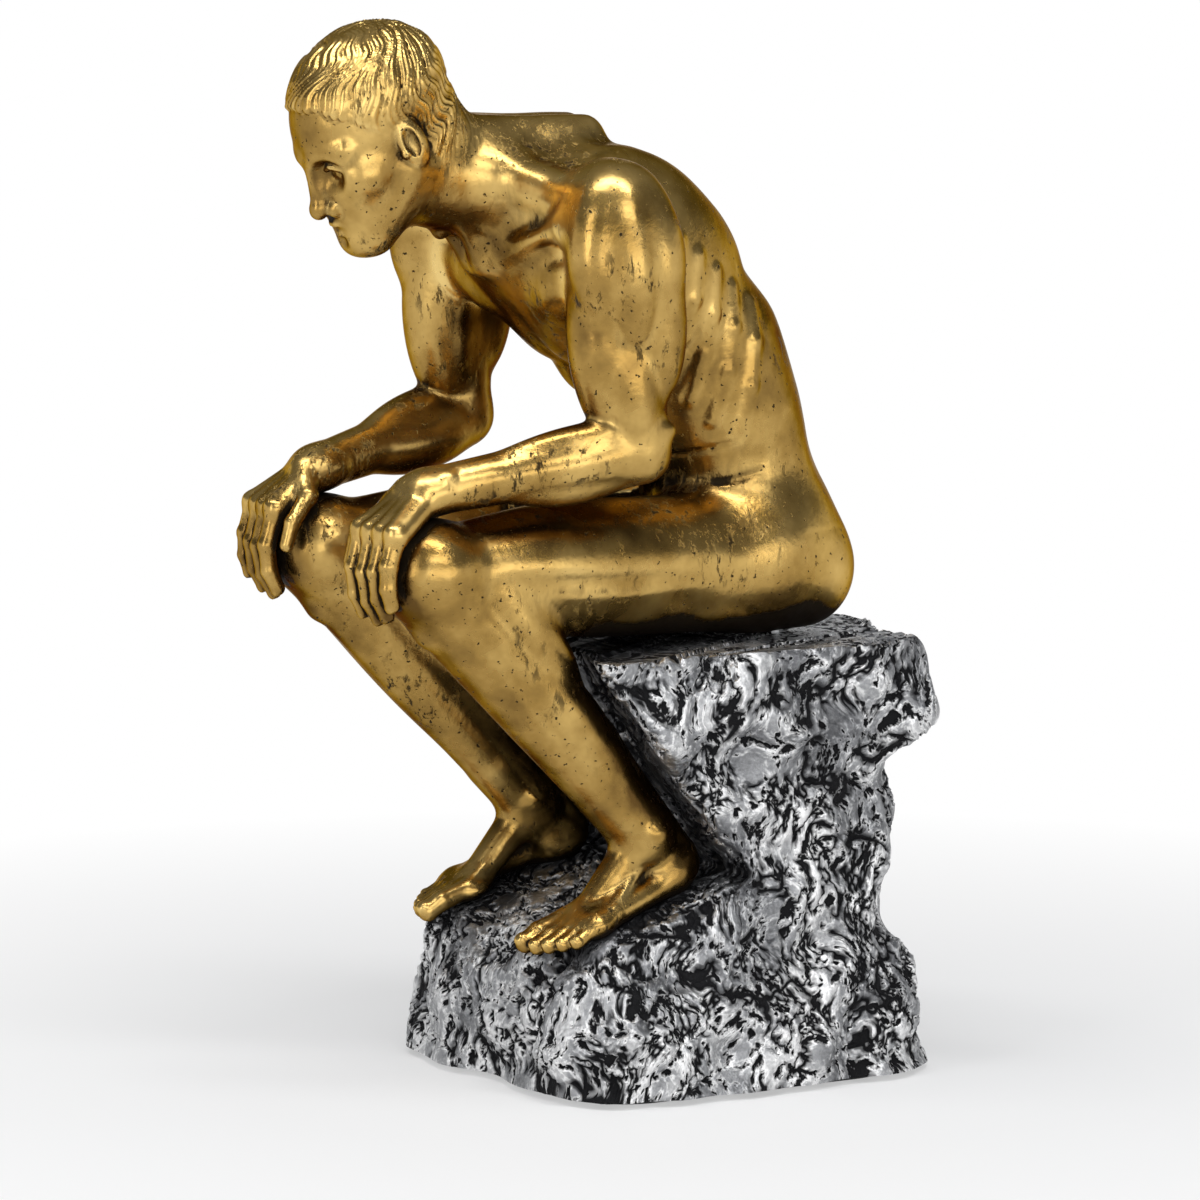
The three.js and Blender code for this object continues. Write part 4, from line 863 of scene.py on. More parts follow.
def hand_clay(leg, arm):
    fore = arm.fore
    r = FINGER_RADIUS
    clay = Clay()
    clay.add(egg(fore.at(0.98), fore, 7, 1.18 * WRIST_RADIUS, 0.86 * WRIST_RADIUS))
    for i, angles in enumerate(FINGER_ANGLES):
        side = (i - 1.5) * FINGER_SPACING
        joints = [leg.over_knee(KNUCKLE_ANGLE, side, 0.8)]
        joints += [leg.over_knee(angle, side) for angle in angles]
        wrist = fore.b + 0.35 * side * leg.thigh.side
        clay.add(bar(wrist, joints[0], 1.6 * r, 1.35 * r), 2)
        lift = unit(joints[0] - leg.thigh.b - side * leg.thigh.side)
        clay.add(bar(wrist + 2.9 * lift, joints[0] + 2.3 * lift, 0.6, 0.7), 1.2)
        clay.add(ball(joints[0] + 0.5 * lift, 2.5), 1)
        clay.add(bar(joints[0], joints[1], 1.1 * r, 0.98 * r), 0.9)
        clay.add(ball(joints[1], 1.08 * r), 0.4)
        clay.add(bar(joints[1], joints[2], 0.98 * r, 0.92 * r), 0.4)
        clay.add(ball(joints[2], 0.98 * r), 0.3)
        clay.add(bar(joints[2], joints[3], 0.92 * r, 0.82 * r), 0.3)
        outward = unit(joints[3] - leg.thigh.b - side * leg.thigh.side)
        nail = joints[3] + 0.52 * r * outward
        lying = Bone(joints[2], joints[3], outward)
        clay.add(egg(nail, lying, 0.66 * r, 0.58 * r, 0.36 * r), 0.08)
    inner = -2.1 * FINGER_SPACING
    root = fore.b + 4 * leg.thigh.axis - 2.6 * leg.thigh.side
    knuckle = leg.over_knee(62, inner, -1.2)
    joint = leg.over_knee(30, inner - 2.6, -2.2)
    clay.add(bar(root, knuckle, 3, 2.3), 2)
    clay.add(bar(knuckle, joint, 2.1, 1.9), 0.8)
    clay.add(bar(joint, leg.over_knee(6, inner - 2.8, -2.6), 1.9, 1.6), 0.5)
    return clay


# Head: places are (forwards, up, sideways) from its middle, which lies level with the eyes
head_middle = head.at(0.29, 3.5)
HAIRLINE_FRONT = 14.5
HAIRLINE_UP = 14


def on_head(front, up, side=0.0):
    return head_middle + front * head.front + up * head.axis + side * head.side


# A lump made larger about the head's middle
def head_sized(lump):
    def distance(p, near):
        q = head_middle[:, None] + (p - head_middle[:, None]) / HEAD_UNIT
        if near is not None:
            near = (head_middle + (near[0] - head_middle) / HEAD_UNIT, near[1] / HEAD_UNIT)
        return HEAD_UNIT * lump.distance(q, near)

    return Lump(distance, head_middle + HEAD_UNIT * (lump.middle - head_middle), HEAD_UNIT * lump.radius)


# Locks run forwards from the crown, bend on their way, and carry finer strands.
CROWN = on_head(-12, 19)
LOCKS = 17
LOCK_HEIGHT = 1.1
LOCK_SHARE = 0.6
LOCK_SINK = 0.92
STRAND_SHARE = 0.28
FRINGE = 1.8


def lock_relief(p):
    q = p - CROWN[:, None]
    away = np.sqrt((q * q).sum(axis=0))
    angle = np.arctan2(head.side @ q, head.front @ q + 0.4 * (head.axis @ q))
    bend = angle + 0.22 * np.sin(0.26 * away + 2 * angle) + 0.05 * np.sin(0.8 * away + 7 * angle)
    lock = np.abs(np.sin(bend * LOCKS / 2 + 0.9 * np.sin(0.17 * away)))
    strand = np.abs(np.sin(bend * LOCKS * 1.9 + 0.5 * np.sin(0.4 * away + 3 * angle)))
    tip = 0.5 + 0.5 * np.sin(0.5 * away + 2.2 * np.sin(3 * angle))
    raised = LOCK_SHARE * np.sqrt(lock) * (0.6 + 0.4 * tip) + STRAND_SHARE * strand
    return LOCK_HEIGHT * (raised - LOCK_SINK)


def hair_clay():
    cap = Clay()
    cap.add(egg(on_head(-2.4, 8), head, 15.6, 15.4, 19.4))
    cap.add(egg(on_head(-9.5, -5), head, 11, 11.4, 10.6), 6)
    low, high = cap.reach()
    radius = np.linalg.norm(high - low) / 2
    locks = Lump(lambda p, near: cap.distance(p, near) - lock_relief(p), (low + high) / 2, radius)
    below = 0.74 * head.front - 0.67 * head.axis
    edge = below.dot(on_head(HAIRLINE_FRONT, HAIRLINE_UP))
    hairline = Lump(lambda p, near: edge - below @ p + FRINGE * lock_relief(p))
    return Clay().add(locks).carve(hairline, 1.0)


def head_clay():
    clay = Clay()
    # Skull, face, jaw and chin
    clay.add(egg(on_head(-2.2, 7.5), head, 14.6, 14, 18))
    clay.add(egg(on_head(5.6, -4.6), head, 15.4, 12.2, 12), 7)
    clay.add(egg(on_head(10.5, -13.5), head, 6.8, 7.8, 7), 5)
    clay.add(egg(on_head(14.7, -18.5), head, 3.2, 4.6, 3.4), 3)
    # Nose
    clay.add(bar(on_head(15.7, 2.8), on_head(19.0, -6.4), 1.6, 1.9), 2.2)
    clay.add(ball(on_head(19.9, -7.5), 2.0), 1.4)
    for _, half in SIDES:
        # Edge of the jaw, cheek bone and brow
        clay.add(bar(on_head(0.5, -8.5, half * 9.8), on_head(12.2, -18.6, half * 4.2), 2.9, 2.6), 6)
        clay.add(egg(on_head(10.2, -4.3, half * 8.8), head, 2.8, 3.6, 3.6), 5)
        clay.add(bar(on_head(15.5, 3.7, half * 2.5), on_head(11.9, 3.6, half * 9.6), 1.8, 1.6), 2.4)
        # Eye: its socket, ball, upper lid, lower lid and pupil
        clay.carve(ball(on_head(17.6, -0.5, half * 5.7), 3.6), 1.9)
        clay.add(ball(on_head(12.3, -0.4, half * 5.6), 2.75), 0.3)
        clay.add(bar(on_head(15.0, 0.5, half * 3.2), on_head(14.9, 1.3, half * 5.6), 0.7, 0.8), 0.4)
        clay.add(bar(on_head(14.9, 1.3, half * 5.6), on_head(13.9, 0.0, half * 8.0), 0.8, 0.7), 0.4)
        clay.add(bar(on_head(14.6, -2.0, half * 3.6), on_head(13.6, -1.7, half * 7.4), 0.6, 0.55), 0.6)
        clay.carve(ball(on_head(15.3, -0.5, half * 5.6), 0.55), 0.3)
        # Nostril and lips
        clay.add(ball(on_head(17.3, -8.5, half * 2.6), 1.75), 1.1)
        clay.carve(ball(on_head(18.9, -9.8, half * 1.4), 0.75), 0.5)
        clay.add(bar(on_head(17.7, -11.8, half * 0.7), on_head(15.3, -12.7, half * 4.0), 1.15, 0.7), 0.7)
        clay.add(bar(on_head(17.1, -14.6, 0), on_head(15.5, -14.0, half * 3.4), 1.3, 0.7), 0.7)
        # Ear
        clay.add(egg(on_head(-1.2, -2.2, half * 13.6), head, 5.6, 1.7, 3.4), 1)
        clay.carve(egg(on_head(-0.4, -1.6, half * 15.0), head, 3.4, 1.1, 1.7), 0.6)
        clay.add(ball(on_head(1.6, -3.4, half * 14.0), 1.0), 0.5)
    # Line of the mouth, and the hollow under it
    clay.carve(bar(on_head(18.6, -13.1, 3.2), on_head(18.6, -13.1, -3.2), 0.5), 0.5)
    clay.carve(ball(on_head(18.6, -16.5), 0.9), 1.6)
    clay.add(hair_clay().lump(), 0.4)
    return clay


# Rock: a seat on a narrower waist over a spreading skirt, cut away in front to leave a sloping ledge
sole_up = legs["left"].foot.front
heel = legs["left"].foot.a * vec(0, 1, 1)

# Waves of the rock's relief, as rows of (direction, length, shift, height)
RELIEF_WAVES = (
    (vec(0.9, 0.35, 0.25), 38, 0.4, BROAD_RELIEF),
    (vec(-0.3, 0.85, 0.45), 31, 2.1, BROAD_RELIEF),
    (vec(0.2, -0.4, 0.9), 27, 4.4, BROAD_RELIEF),
    (vec(0.7, -0.5, 0.5), 17, 1.3, CLOSE_RELIEF),
    (vec(-0.45, 0.35, 0.82), 15, 5.2, CLOSE_RELIEF),
    (vec(0.35, 0.88, -0.32), 16, 3.1, CLOSE_RELIEF),
)


def rock_waves(p):
    return sum(height * np.sin(2 * math.pi * (way @ p) / wave + shift)
               for way, wave, shift, height in RELIEF_WAVES)


def rock_clay():
    upright = Bone(vec(0, 0, 0), UP, FORWARD)

    def stone(y, z, height, width, depth, round_):
        return brick(vec(0, y, z), upright, height / 2, width / 2, depth / 2, round_)

    seat_y = BASE_DEPTH / 2 - SEAT_FROM_BACK - SEAT_DEPTH / 2
    waist_y = BASE_DEPTH / 2 - WAIST_FROM_BACK - WAIST_DEPTH / 2
    seat_z = SEAT_HEIGHT + ROCK_RELIEF - SEAT_THICKNESS / 2
    whole = Clay()
    whole.add(stone(seat_y, seat_z, SEAT_THICKNESS, SEAT_WIDTH, SEAT_DEPTH, SEAT_ROUND))
    waist = stone(waist_y, SEAT_HEIGHT / 2, SEAT_HEIGHT, WAIST_WIDTH, WAIST_DEPTH, WAIST_ROUND)
    whole.add(waist, ROCK_BLEND)
    skirt_width = BASE_WIDTH - ROCK_RELIEF
    skirt_depth = BASE_DEPTH - ROCK_RELIEF
    whole.add(stone(0, 0, 2 * SKIRT_HEIGHT, skirt_width, skirt_depth, BASE_ROUND), ROCK_BLEND)
    middle = vec(0, 0, ROCK_MIDDLE_HEIGHT)
    rough = Lump(lambda p, near: whole.distance(p, near) - rock_waves(p), middle, ROCK_REACH)

    back_y = heel[1] + LEDGE_BEHIND_HEEL
    face_bottom = vec(0, back_y, heel[2] + LEDGE_BEHIND_HEEL * math.tan(math.radians(LEDGE_SLOPE)))
    face_top = vec(0, FACE_TOP_FROM_FRONT - BASE_DEPTH / 2, SEAT_HEIGHT)
    face_out = unit(np.cross(face_top - face_bottom, vec(-1, 0, 0)))

    def over_ledge(p, near):
        return np.maximum(face_out.dot(face_bottom) - face_out @ p, sole_up.dot(heel) - sole_up @ p)

    cut = Clay().add(rough).carve(Lump(over_ledge), FACE_BLEND)
    for leg in legs.values():
        cut.carve(shank_clay(leg).lump(SHANK_ROOM), SHANK_ROOM_BLEND)
    return cut


# Whole fields: the figure's parts run into each other, and the seams are cut afterwards. In `figure` the
# arms meet what they touch without a blend.
trunk = trunk_clay()
whole_leg = {}
whole_arm = {}
for name, _ in SIDES:
    foot = foot_clay(legs[name]).lump()
    hand = hand_clay(legs[name], arms[name]).lump()
    whole_leg[name] = Clay().add(leg_clay(legs[name]).lump()).add(foot, ANKLE_BLEND)
    whole_arm[name] = Clay().add(arm_clay(arms[name]).lump()).add(hand, WRIST_BLEND)
rock = rock_clay()
head_and_hair = Clay().add(head_sized(head_clay().lump()))

lower_body = Clay().add(trunk.lump())
upper_body = Clay().add(trunk.lump()).add(head_and_hair.lump(), NECK_BLEND)
whole_body = Clay().add(trunk.lump()).add(head_and_hair.lump(), NECK_BLEND)
figure = Clay().add(trunk.lump()).add(head_and_hair.lump(), NECK_BLEND)
for name, _ in SIDES:
    leg = whole_leg[name].lump()
    arm = whole_arm[name].lump()
    lower_body.add(leg, HIP_BLEND)
    upper_body.add(arm, SHOULDER_BLEND)
    whole_body.add(leg, HIP_BLEND).add(arm, SHOULDER_BLEND)
    figure.add(leg, HIP_BLEND).add(arm)

hip_seam_y = HIP_FROM_CENTRE - HIP_SEAM_FROM_HIP
crease_z = hip_centre[2] + CREASE_ABOVE_HIP
neck_seam = neck.at(NECK_SEAM_SHARE)


# Lap cloth: a cast sheet that follows the lap, with folds that run forwards and a soft hem
def cloth_lump():
    lap = Clay().add(trunk.lump())
    for name, _ in SIDES:
        lap.add(whole_leg[name].lump(), CLOTH_SAG)
    hem_y = hip_seam_y - CLOTH_LENGTH
    middle_y = (HIP_FROM_CENTRE + hem_y) / 2
    half_length = (HIP_FROM_CENTRE - hem_y) / 2

    def folds(p):
        x, y = p[0], p[1]
        drift = 0.10 * (y - hip_seam_y)
        run = np.clip((hip_seam_y + 2 - y) / 20, 0, 1)
        broad = BROAD_FOLD * np.sin(0.62 * x + drift)
        fine = FINE_FOLD * np.sin(1.31 * x - 0.6 * drift + 1.1)
        return run * (broad + fine)

    def distance(p, near):
        over = lap.distance(p, near)
        raised = over - CONTACT - CLOTH_STAND_OFF - CLOTH_THICKNESS / 2 - folds(p)
        sheet = np.abs(raised) - CLOTH_THICKNESS / 2
        wide = np.abs(p[0]) - CLOTH_HALF_WIDTH - 0.6 * np.sin(0.5 * p[1])
        wave = 1.1 * np.sin(0.42 * p[0] + 0.8)
        long = np.abs(p[1] - middle_y) - half_length
        corner = np.stack((wide + CLOTH_CORNER, long + CLOTH_CORNER + wave))
        out = np.maximum(corner, 0)
        edge = np.minimum(corner.max(axis=0), 0) + np.sqrt((out * out).sum(axis=0)) - CLOTH_CORNER
        aside = np.clip(np.abs(p[0]) / CLOTH_HALF_WIDTH, 0, 1)
        top = p[2] - crease_z - CLOTH_RISE * (1 - 1.2 * aside * aside)
        rim = np.maximum(np.maximum(edge, top), SEAT_HEIGHT - p[2])
        return -blended(-sheet, -rim, CLOTH_RIM_BLEND)

    return Lump(distance, vec(0, middle_y, crease_z - CLOTH_BELOW_CREASE), CLOTH_REACH)


lap_cloth = cloth_lump()

# Everything that can shade a hollow
surroundings = Clay().add(figure.lump()).add(lap_cloth).add(rock.lump())


# How far each point of a skin is shut in by what stands round it: 0 in the open, 1 in a deep hollow
def shut_in(points, normals, reaches):
    total = np.zeros(len(points))
    for reach in reaches:
        clear = sampled(surroundings, points + reach * normals, reach)
        total += 1 - np.clip(clear / reach, 0, 1)
    return total / len(reaches)


# Painted shade: where the coat is painted brown, under things and where the skin faces down or backwards
COVERED_SHARE = 0.85
UNDER_SHARE = 0.25
BEHIND_SHARE = 0.5


def painted_shade(points, normals, reaches):
    skyward = normals + 0.9 * UP
    skyward /= np.maximum(np.linalg.norm(skyward, axis=1), 0.2)[:, None]
    under = np.clip(-normals[:, 2], 0, 1)
    behind = np.clip(normals @ -FORWARD, 0, 1)
    covered = shut_in(points, skyward, reaches)
    return np.clip(COVERED_SHARE * covered + UNDER_SHARE * under + BEHIND_SHARE * behind, 0, 1)


# How sharply a skin stands out: 0 on a flat, towards 1 on a ridge
def stands_out(points, normals, reach):
    depth = sampled(surroundings, points - reach * normals)
    return np.clip(1 + depth / reach, 0, 1)


def normals_of(points, triangles):
    a, b, c = (points[triangles[:, i]] for i in range(3))
    face = np.cross(b - a, c - a)
    normals = np.zeros_like(points)
    for i in range(3):
        np.add.at(normals, triangles[:, i], face)
    return normals / np.maximum(np.linalg.norm(normals, axis=1), 1e-12)[:, None]


def mesh_from(name, points, triangles, attributes):
    mesh = bpy.data.meshes.new(name)
    mesh.from_pydata((points * MM).tolist(), [], triangles.tolist())
    for key, values in attributes.items():
        layer = mesh.attributes.new(key, "FLOAT", "POINT")
        layer.data.foreach_set("value", values.astype(np.float32))
    mesh.shade_smooth()
    return mesh


# Closes the open cuts of a skin, cuts it along planes given as (point, outward normal), and closes
# those cuts too.
def close_cuts(mesh, planes=()):
    bm = bmesh.new()
    bm.from_mesh(mesh)

    def close():
        rim = [e for e in bm.edges if e.is_boundary]
        for e in rim:
            e.smooth = False
        made = bmesh.ops.holes_fill(bm, edges=rim, sides=0)["faces"]
        bmesh.ops.triangulate(bm, faces=made)

    close()
    for point, normal in planes:
        geometry = bm.verts[:] + bm.edges[:] + bm.faces[:]
        bmesh.ops.bisect_plane(bm, geom=geometry, dist=1e-7, plane_co=point * MM, plane_no=normal,
                               clear_outer=True)
        close()
    bm.to_mesh(mesh)
    bm.free()


def add_piece(name, mesh, material, slot, *nodes):
    piece = bpy.data.objects.new(name, mesh)
    bpy.context.scene.collection.objects.link(piece)
    mesh.materials.clear()
    mesh.materials.append(material)
    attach(piece, "root")
    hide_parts(*nodes)
    return piece


# Node helpers for materials and geometry
def link(tree, start, end):
    tree.links.new(start, end)


def node(tree, kind, **settings):
    made = tree.nodes.new(kind)
    for key, value in settings.items():
        setattr(made, key, value)
    return made


def new_material(name):
    material = bpy.data.materials.new(name)
    material.use_nodes = True
    tree = material.node_tree
    return material, tree, tree.nodes["Principled BSDF"]


def noise(tree, coordinates, scale, detail=3.0, roughness=0.55, distortion=0.0):
    made = node(tree, "ShaderNodeTexNoise")
    made.inputs["Scale"].default_value = scale
    made.inputs["Detail"].default_value = detail
    made.inputs["Roughness"].default_value = roughness
    made.inputs["Distortion"].default_value = distortion
    link(tree, coordinates, made.inputs["Vector"])
    return made.outputs["Fac"]


def attribute(tree, name):
    made = node(tree, "ShaderNodeAttribute", attribute_name=name)
    return made.outputs["Fac"]


def ramp(tree, factor, *stops):
    made = node(tree, "ShaderNodeValToRGB")
    elements = made.color_ramp.elements
    while len(elements) < len(stops):
        elements.new(0.5)
    for element, (place, colour) in zip(elements, stops):
        element.position = place
        element.color = (*colour, 1) if isinstance(colour, tuple) else (colour, colour, colour, 1)
    link(tree, factor, made.inputs["Fac"])
    return made.outputs["Color"]


# Where a value lies between two others: 0 at the low one, 1 at the high one
def span(tree, value, low, high):
    made = node(tree, "ShaderNodeMapRange")
    made.inputs["From Min"].default_value = low
    made.inputs["From Max"].default_value = high
    link(tree, value, made.inputs["Value"])
    return made.outputs["Result"]


def math_node(tree, operation, a, b=None, c=None):
    made = node(tree, "ShaderNodeMath", operation=operation)
    for socket, value in zip(made.inputs, (a, b, c)):
        if value is None:
            continue
        if isinstance(value, (int, float)):
            socket.default_value = value
        else:
            link(tree, value, socket)
    return made.outputs[0]


# value * factor + base
def scaled(tree, value, factor, base):
    return math_node(tree, "MULTIPLY_ADD", value, factor, base)


def product(tree, a, b):
    return math_node(tree, "MULTIPLY", a, b)


def larger(tree, a, b):
    return math_node(tree, "MAXIMUM", a, b)


def mix_colour(tree, factor, a, b):
    made = node(tree, "ShaderNodeMix", data_type="RGBA")
    for socket, value in ((made.inputs["Factor"], factor), (made.inputs[6], a), (made.inputs[7], b)):
        if isinstance(value, tuple):
            socket.default_value = (*value, 1)
        elif isinstance(value, (int, float)):
            socket.default_value = value
        else:
            link(tree, value, socket)
    return made.outputs[2]


def bump(tree, height, distance, strength, under=None):
    made = node(tree, "ShaderNodeBump")
    made.inputs["Strength"].default_value = strength
    made.inputs["Distance"].default_value = distance
    link(tree, height, made.inputs["Height"])
    if under is not None:
        link(tree, under, made.inputs["Normal"])
    return made.outputs["Normal"]


def object_coordinates(tree, stretch=(1, 1, 1), turn=(0, 0, 0)):
    place = node(tree, "ShaderNodeTexCoord")
    mapping = node(tree, "ShaderNodeMapping")
    mapping.inputs["Scale"].default_value = stretch
    mapping.inputs["Rotation"].default_value = turn
    link(tree, place.outputs["Object"], mapping.inputs["Vector"])
    return mapping.outputs["Vector"]


# Antique gold: a rubbed metal coat with painted shade, brown underneath things and near black in the
# hollows, where it mixes with a dark wash
GOLD_BRIGHT = (0.84, 0.60, 0.22)
GOLD = (0.62, 0.41, 0.13)
GOLD_DULL = (0.37, 0.225, 0.06)
GOLD_BROWN = (0.13, 0.072, 0.02)
GOLD_SHADE = (0.066, 0.034, 0.011)
GOLD_DIRT_AND_SHADE = (0.010, 0.008, 0.006)
GOLD_EDGE = (0.46, 0.34, 0.19, 1)


def gold_material():
    material, tree, shader = new_material("antique_gold")
    where = object_coordinates(tree)
    drawn_where = object_coordinates(tree, (1, 1, 0.35), (0.5, 0.3, 0))
    cloudy = noise(tree, where, 55, 4, 0.6)
    streaks = noise(tree, drawn_where, 260, 4, 0.65, 0.6)
    scratches = noise(tree, drawn_where, 460, 5, 0.72, 0.25)
    hollow = attribute(tree, "hollow")
    ridge = attribute(tree, "ridge")
    painted_shade_amount = attribute(tree, "painted_shade")

    # Brighter on ridges: rubbed high points, and a painted highlight.
    tone = scaled(tree, cloudy, 0.72, product(tree, ridge, 0.45))
    # Painted shade: the coat turns browner under things and where the skin faces down or back.
    tone = scaled(tree, painted_shade_amount, -0.4, tone)
    coat = ramp(tree, tone, (0.02, GOLD_BROWN), (0.2, GOLD_DULL), (0.38, GOLD), (0.66, GOLD_BRIGHT))
    # Painted shade: darker in creases, where parts meet and under things, mixed with streaks of a dark
    # wash.
    shade = scaled(tree, math_node(tree, "SUBTRACT", streaks, 0.5), 0.5, hollow)
    shade = scaled(tree, painted_shade_amount, 0.06, shade)
    shallow = product(tree, span(tree, shade, 0.16, 0.46), 0.8)
    coat = mix_colour(tree, shallow, coat, GOLD_SHADE)
    ragged = scaled(tree, math_node(tree, "SUBTRACT", scratches, 0.5), 0.9, shade)
    wash_and_painted_shade = span(tree, ragged, 0.42, 0.56)

    patches = span(tree, noise(tree, where, 44, 3, 0.55, 0.4), 0.55, 0.64)
    rubbed = product(tree, patches, span(tree, scratches, 0.55, 0.61))
    specks = span(tree, noise(tree, where, 800, 2, 0.5), 0.68, 0.72)
    # Near black where painted shade in the hollows meets the dark wash, and in rubbed patches and specks.
    dirt_and_painted_shade = larger(tree, wash_and_painted_shade, larger(tree, rubbed, specks))
    coat = mix_colour(tree, product(tree, dirt_and_painted_shade, 0.92), coat, GOLD_DIRT_AND_SHADE)
    link(tree, coat, shader.inputs["Base Color"])
    shader.inputs["Specular Tint"].default_value = GOLD_EDGE
    shader.inputs["Specular IOR Level"].default_value = 0.2

    link(tree, scaled(tree, dirt_and_painted_shade, -0.6, 0.97), shader.inputs["Metallic"])
    rough = scaled(tree, cloudy, 0.2, 0.17)
    link(tree, scaled(tree, dirt_and_painted_shade, 0.25, rough), shader.inputs["Roughness"])
    grain = noise(tree, where, 700, 3, 0.6)
    normal = bump(tree, grain, 0.00022, 0.3)
    normal = bump(tree, dirt_and_painted_shade, -0.0003, 0.6, normal)
    normal = bump(tree, cloudy, 0.0012, 0.3, normal)
    link(tree, normal, shader.inputs["Normal"])
    return material


# Crumple of the rock, in any tree: lumps with pits, strokes and a few long cracks between them
LUMP_SCALE = 100
PIT_SCALE = 215
NICK_SCALE = 430
STROKE_SCALE = 230
CRACK_SCALE = 24
BREAK_SCALE = 75
SWIRL_SCALE = 60
SWIRL_PUSH = (0.018, 0.018, 0.018)
DRAW_OUT = (1, 1, 0.62)


# Lines along which a noise crosses its middle: 1 on the line, 0 away from it
def wandering_lines(tree, where, scale, detail, sharp):
    off = math_node(tree, "SUBTRACT", noise(tree, where, scale, detail), 0.5)
    off = math_node(tree, "ABSOLUTE", off)
    return larger(tree, scaled(tree, off, -sharp, 1.0), 0.0)


# Coordinates that bend slowly and are drawn out up and down
def drawn_out(tree, where):
    swirl = node(tree, "ShaderNodeTexNoise")
    swirl.inputs["Scale"].default_value = SWIRL_SCALE
    swirl.inputs["Detail"].default_value = 1
    link(tree, where, swirl.inputs["Vector"])
    push = node(tree, "ShaderNodeVectorMath", operation="MULTIPLY_ADD")
    link(tree, swirl.outputs["Color"], push.inputs[0])
    push.inputs[1].default_value = SWIRL_PUSH
    link(tree, where, push.inputs[2])
    draw = node(tree, "ShaderNodeVectorMath", operation="MULTIPLY")
    link(tree, push.outputs["Vector"], draw.inputs[0])
    draw.inputs[1].default_value = DRAW_OUT
    return draw.outputs["Vector"]


def crumple(tree, where):
    drawn = drawn_out(tree, where)
    lumps = span(tree, noise(tree, drawn, LUMP_SCALE, 2, 0.5), 0.3, 0.7)
    worn = noise(tree, drawn, PIT_SCALE, 4, 0.66)
    nicked = noise(tree, drawn, NICK_SCALE, 2, 0.6)
    broken = span(tree, noise(tree, where, BREAK_SCALE, 1), 0.45, 0.52)
    strokes = wandering_lines(tree, drawn, STROKE_SCALE, 2, 13)
    cracks = wandering_lines(tree, where, CRACK_SCALE, 4, 42)
    lines = product(tree, larger(tree, strokes, cracks), broken)
    pits = larger(tree, span(tree, worn, 0.55, 0.61), span(tree, nicked, 0.575, 0.65))
    cavity = larger(tree, lines, pits)
    # Rims: a band round each pit, which the silver paints as a highlight.
    near_pit = larger(tree, worn, scaled(tree, nicked, 0.9, 0.03))
    rims = span(tree, near_pit, 0.47, 0.55)
    return lumps, cavity, rims


# Silver: grey on the flats, with a painted highlight along the rims, near black in the pits, and painted
# shade in the hollows
SILVER_DARK = (0.11, 0.112, 0.118)
SILVER = (0.34, 0.345, 0.355)
SILVER_BRIGHT = (0.86, 0.86, 0.86)
SILVER_PITS_AND_SHADE = (0.008, 0.008, 0.009)


def silver_material():
    material, tree, shader = new_material("silvered_rock")
    bed = node(tree, "ShaderNodeAttribute", attribute_name="bed")
    lumps, cavity, rims = crumple(tree, bed.outputs["Vector"])
    where = object_coordinates(tree)
    patches = noise(tree, where, 38, 4, 0.6)
    fine = noise(tree, where, 850, 4, 0.68)
    hollow = attribute(tree, "hollow")
    tone = scaled(tree, lumps, 0.35, product(tree, patches, 0.75))
    tone = scaled(tree, fine, 0.4, tone)
    # Painted highlight along the rims of the pits.
    tone = scaled(tree, rims, 0.28, tone)
    # Painted shade: darker in the hollows of the rock and where the figure meets it.
    tone = scaled(tree, hollow, -0.4, tone)
    coat = ramp(tree, tone, (0.46, SILVER_DARK), (0.72, SILVER), (1.02, SILVER_BRIGHT))
    # Near black in the pits, and in the hollows as painted shade.
    pits_and_shade = scaled(tree, hollow, 0.35, cavity)
    pits_and_shade = span(tree, pits_and_shade, 0.18, 0.72)
    coat = mix_colour(tree, pits_and_shade, coat, SILVER_PITS_AND_SHADE)
    link(tree, coat, shader.inputs["Base Color"])
    shader.inputs["Specular IOR Level"].default_value = 0.15
    link(tree, scaled(tree, pits_and_shade, -0.6, 0.85), shader.inputs["Metallic"])
    link(tree, scaled(tree, pits_and_shade, 0.3, 0.3), shader.inputs["Roughness"])
    normal = bump(tree, fine, 0.0006, 0.6)
    normal = bump(tree, cavity, -0.0012, 0.7, normal)
    link(tree, normal, shader.inputs["Normal"])
    return material


# Felt: dark and matted
FELT_DARK = (0.008, 0.009, 0.008)
FELT_LIGHT = (0.035, 0.037, 0.034)


def felt_material():
    material, tree, shader = new_material("black_felt")
    where = object_coordinates(tree)
    matted = noise(tree, where, 900, 4, 0.7, 0.8)
    patches = noise(tree, where, 90, 2)
    tone = scaled(tree, patches, 0.4, product(tree, matted, 0.6))
    coat = ramp(tree, tone, (0.3, FELT_DARK), (0.7, FELT_LIGHT))
    link(tree, coat, shader.inputs["Base Color"])
    shader.inputs["Roughness"].default_value = 0.95
    shader.inputs["Sheen Weight"].default_value = 0.35
    shader.inputs["Sheen Roughness"].default_value = 0.6
    link(tree, bump(tree, matted, 0.0006, 0.7), shader.inputs["Normal"])
    return material


# Steel of the dowels and pins, drawn along its length
STEEL_DARK = (0.42, 0.43, 0.44)
STEEL_LIGHT = (0.62, 0.63, 0.64)


def steel_material():
    material, tree, shader = new_material("drawn_steel")
    where = object_coordinates(tree, (1, 1, 0.1))
    lines = noise(tree, where, 1500, 3, 0.6)
    coat = ramp(tree, lines, (0.3, STEEL_DARK), (0.7, STEEL_LIGHT))
    link(tree, coat, shader.inputs["Base Color"])
    shader.inputs["Metallic"].default_value = 1.0
    link(tree, ramp(tree, lines, (0.3, 0.25), (0.7, 0.42)), shader.inputs["Roughness"])
    link(tree, bump(tree, lines, 0.0001, 0.3), shader.inputs["Normal"])
    return material


gold = gold_material()
silver = silver_material()
felt = felt_material()
steel = steel_material()

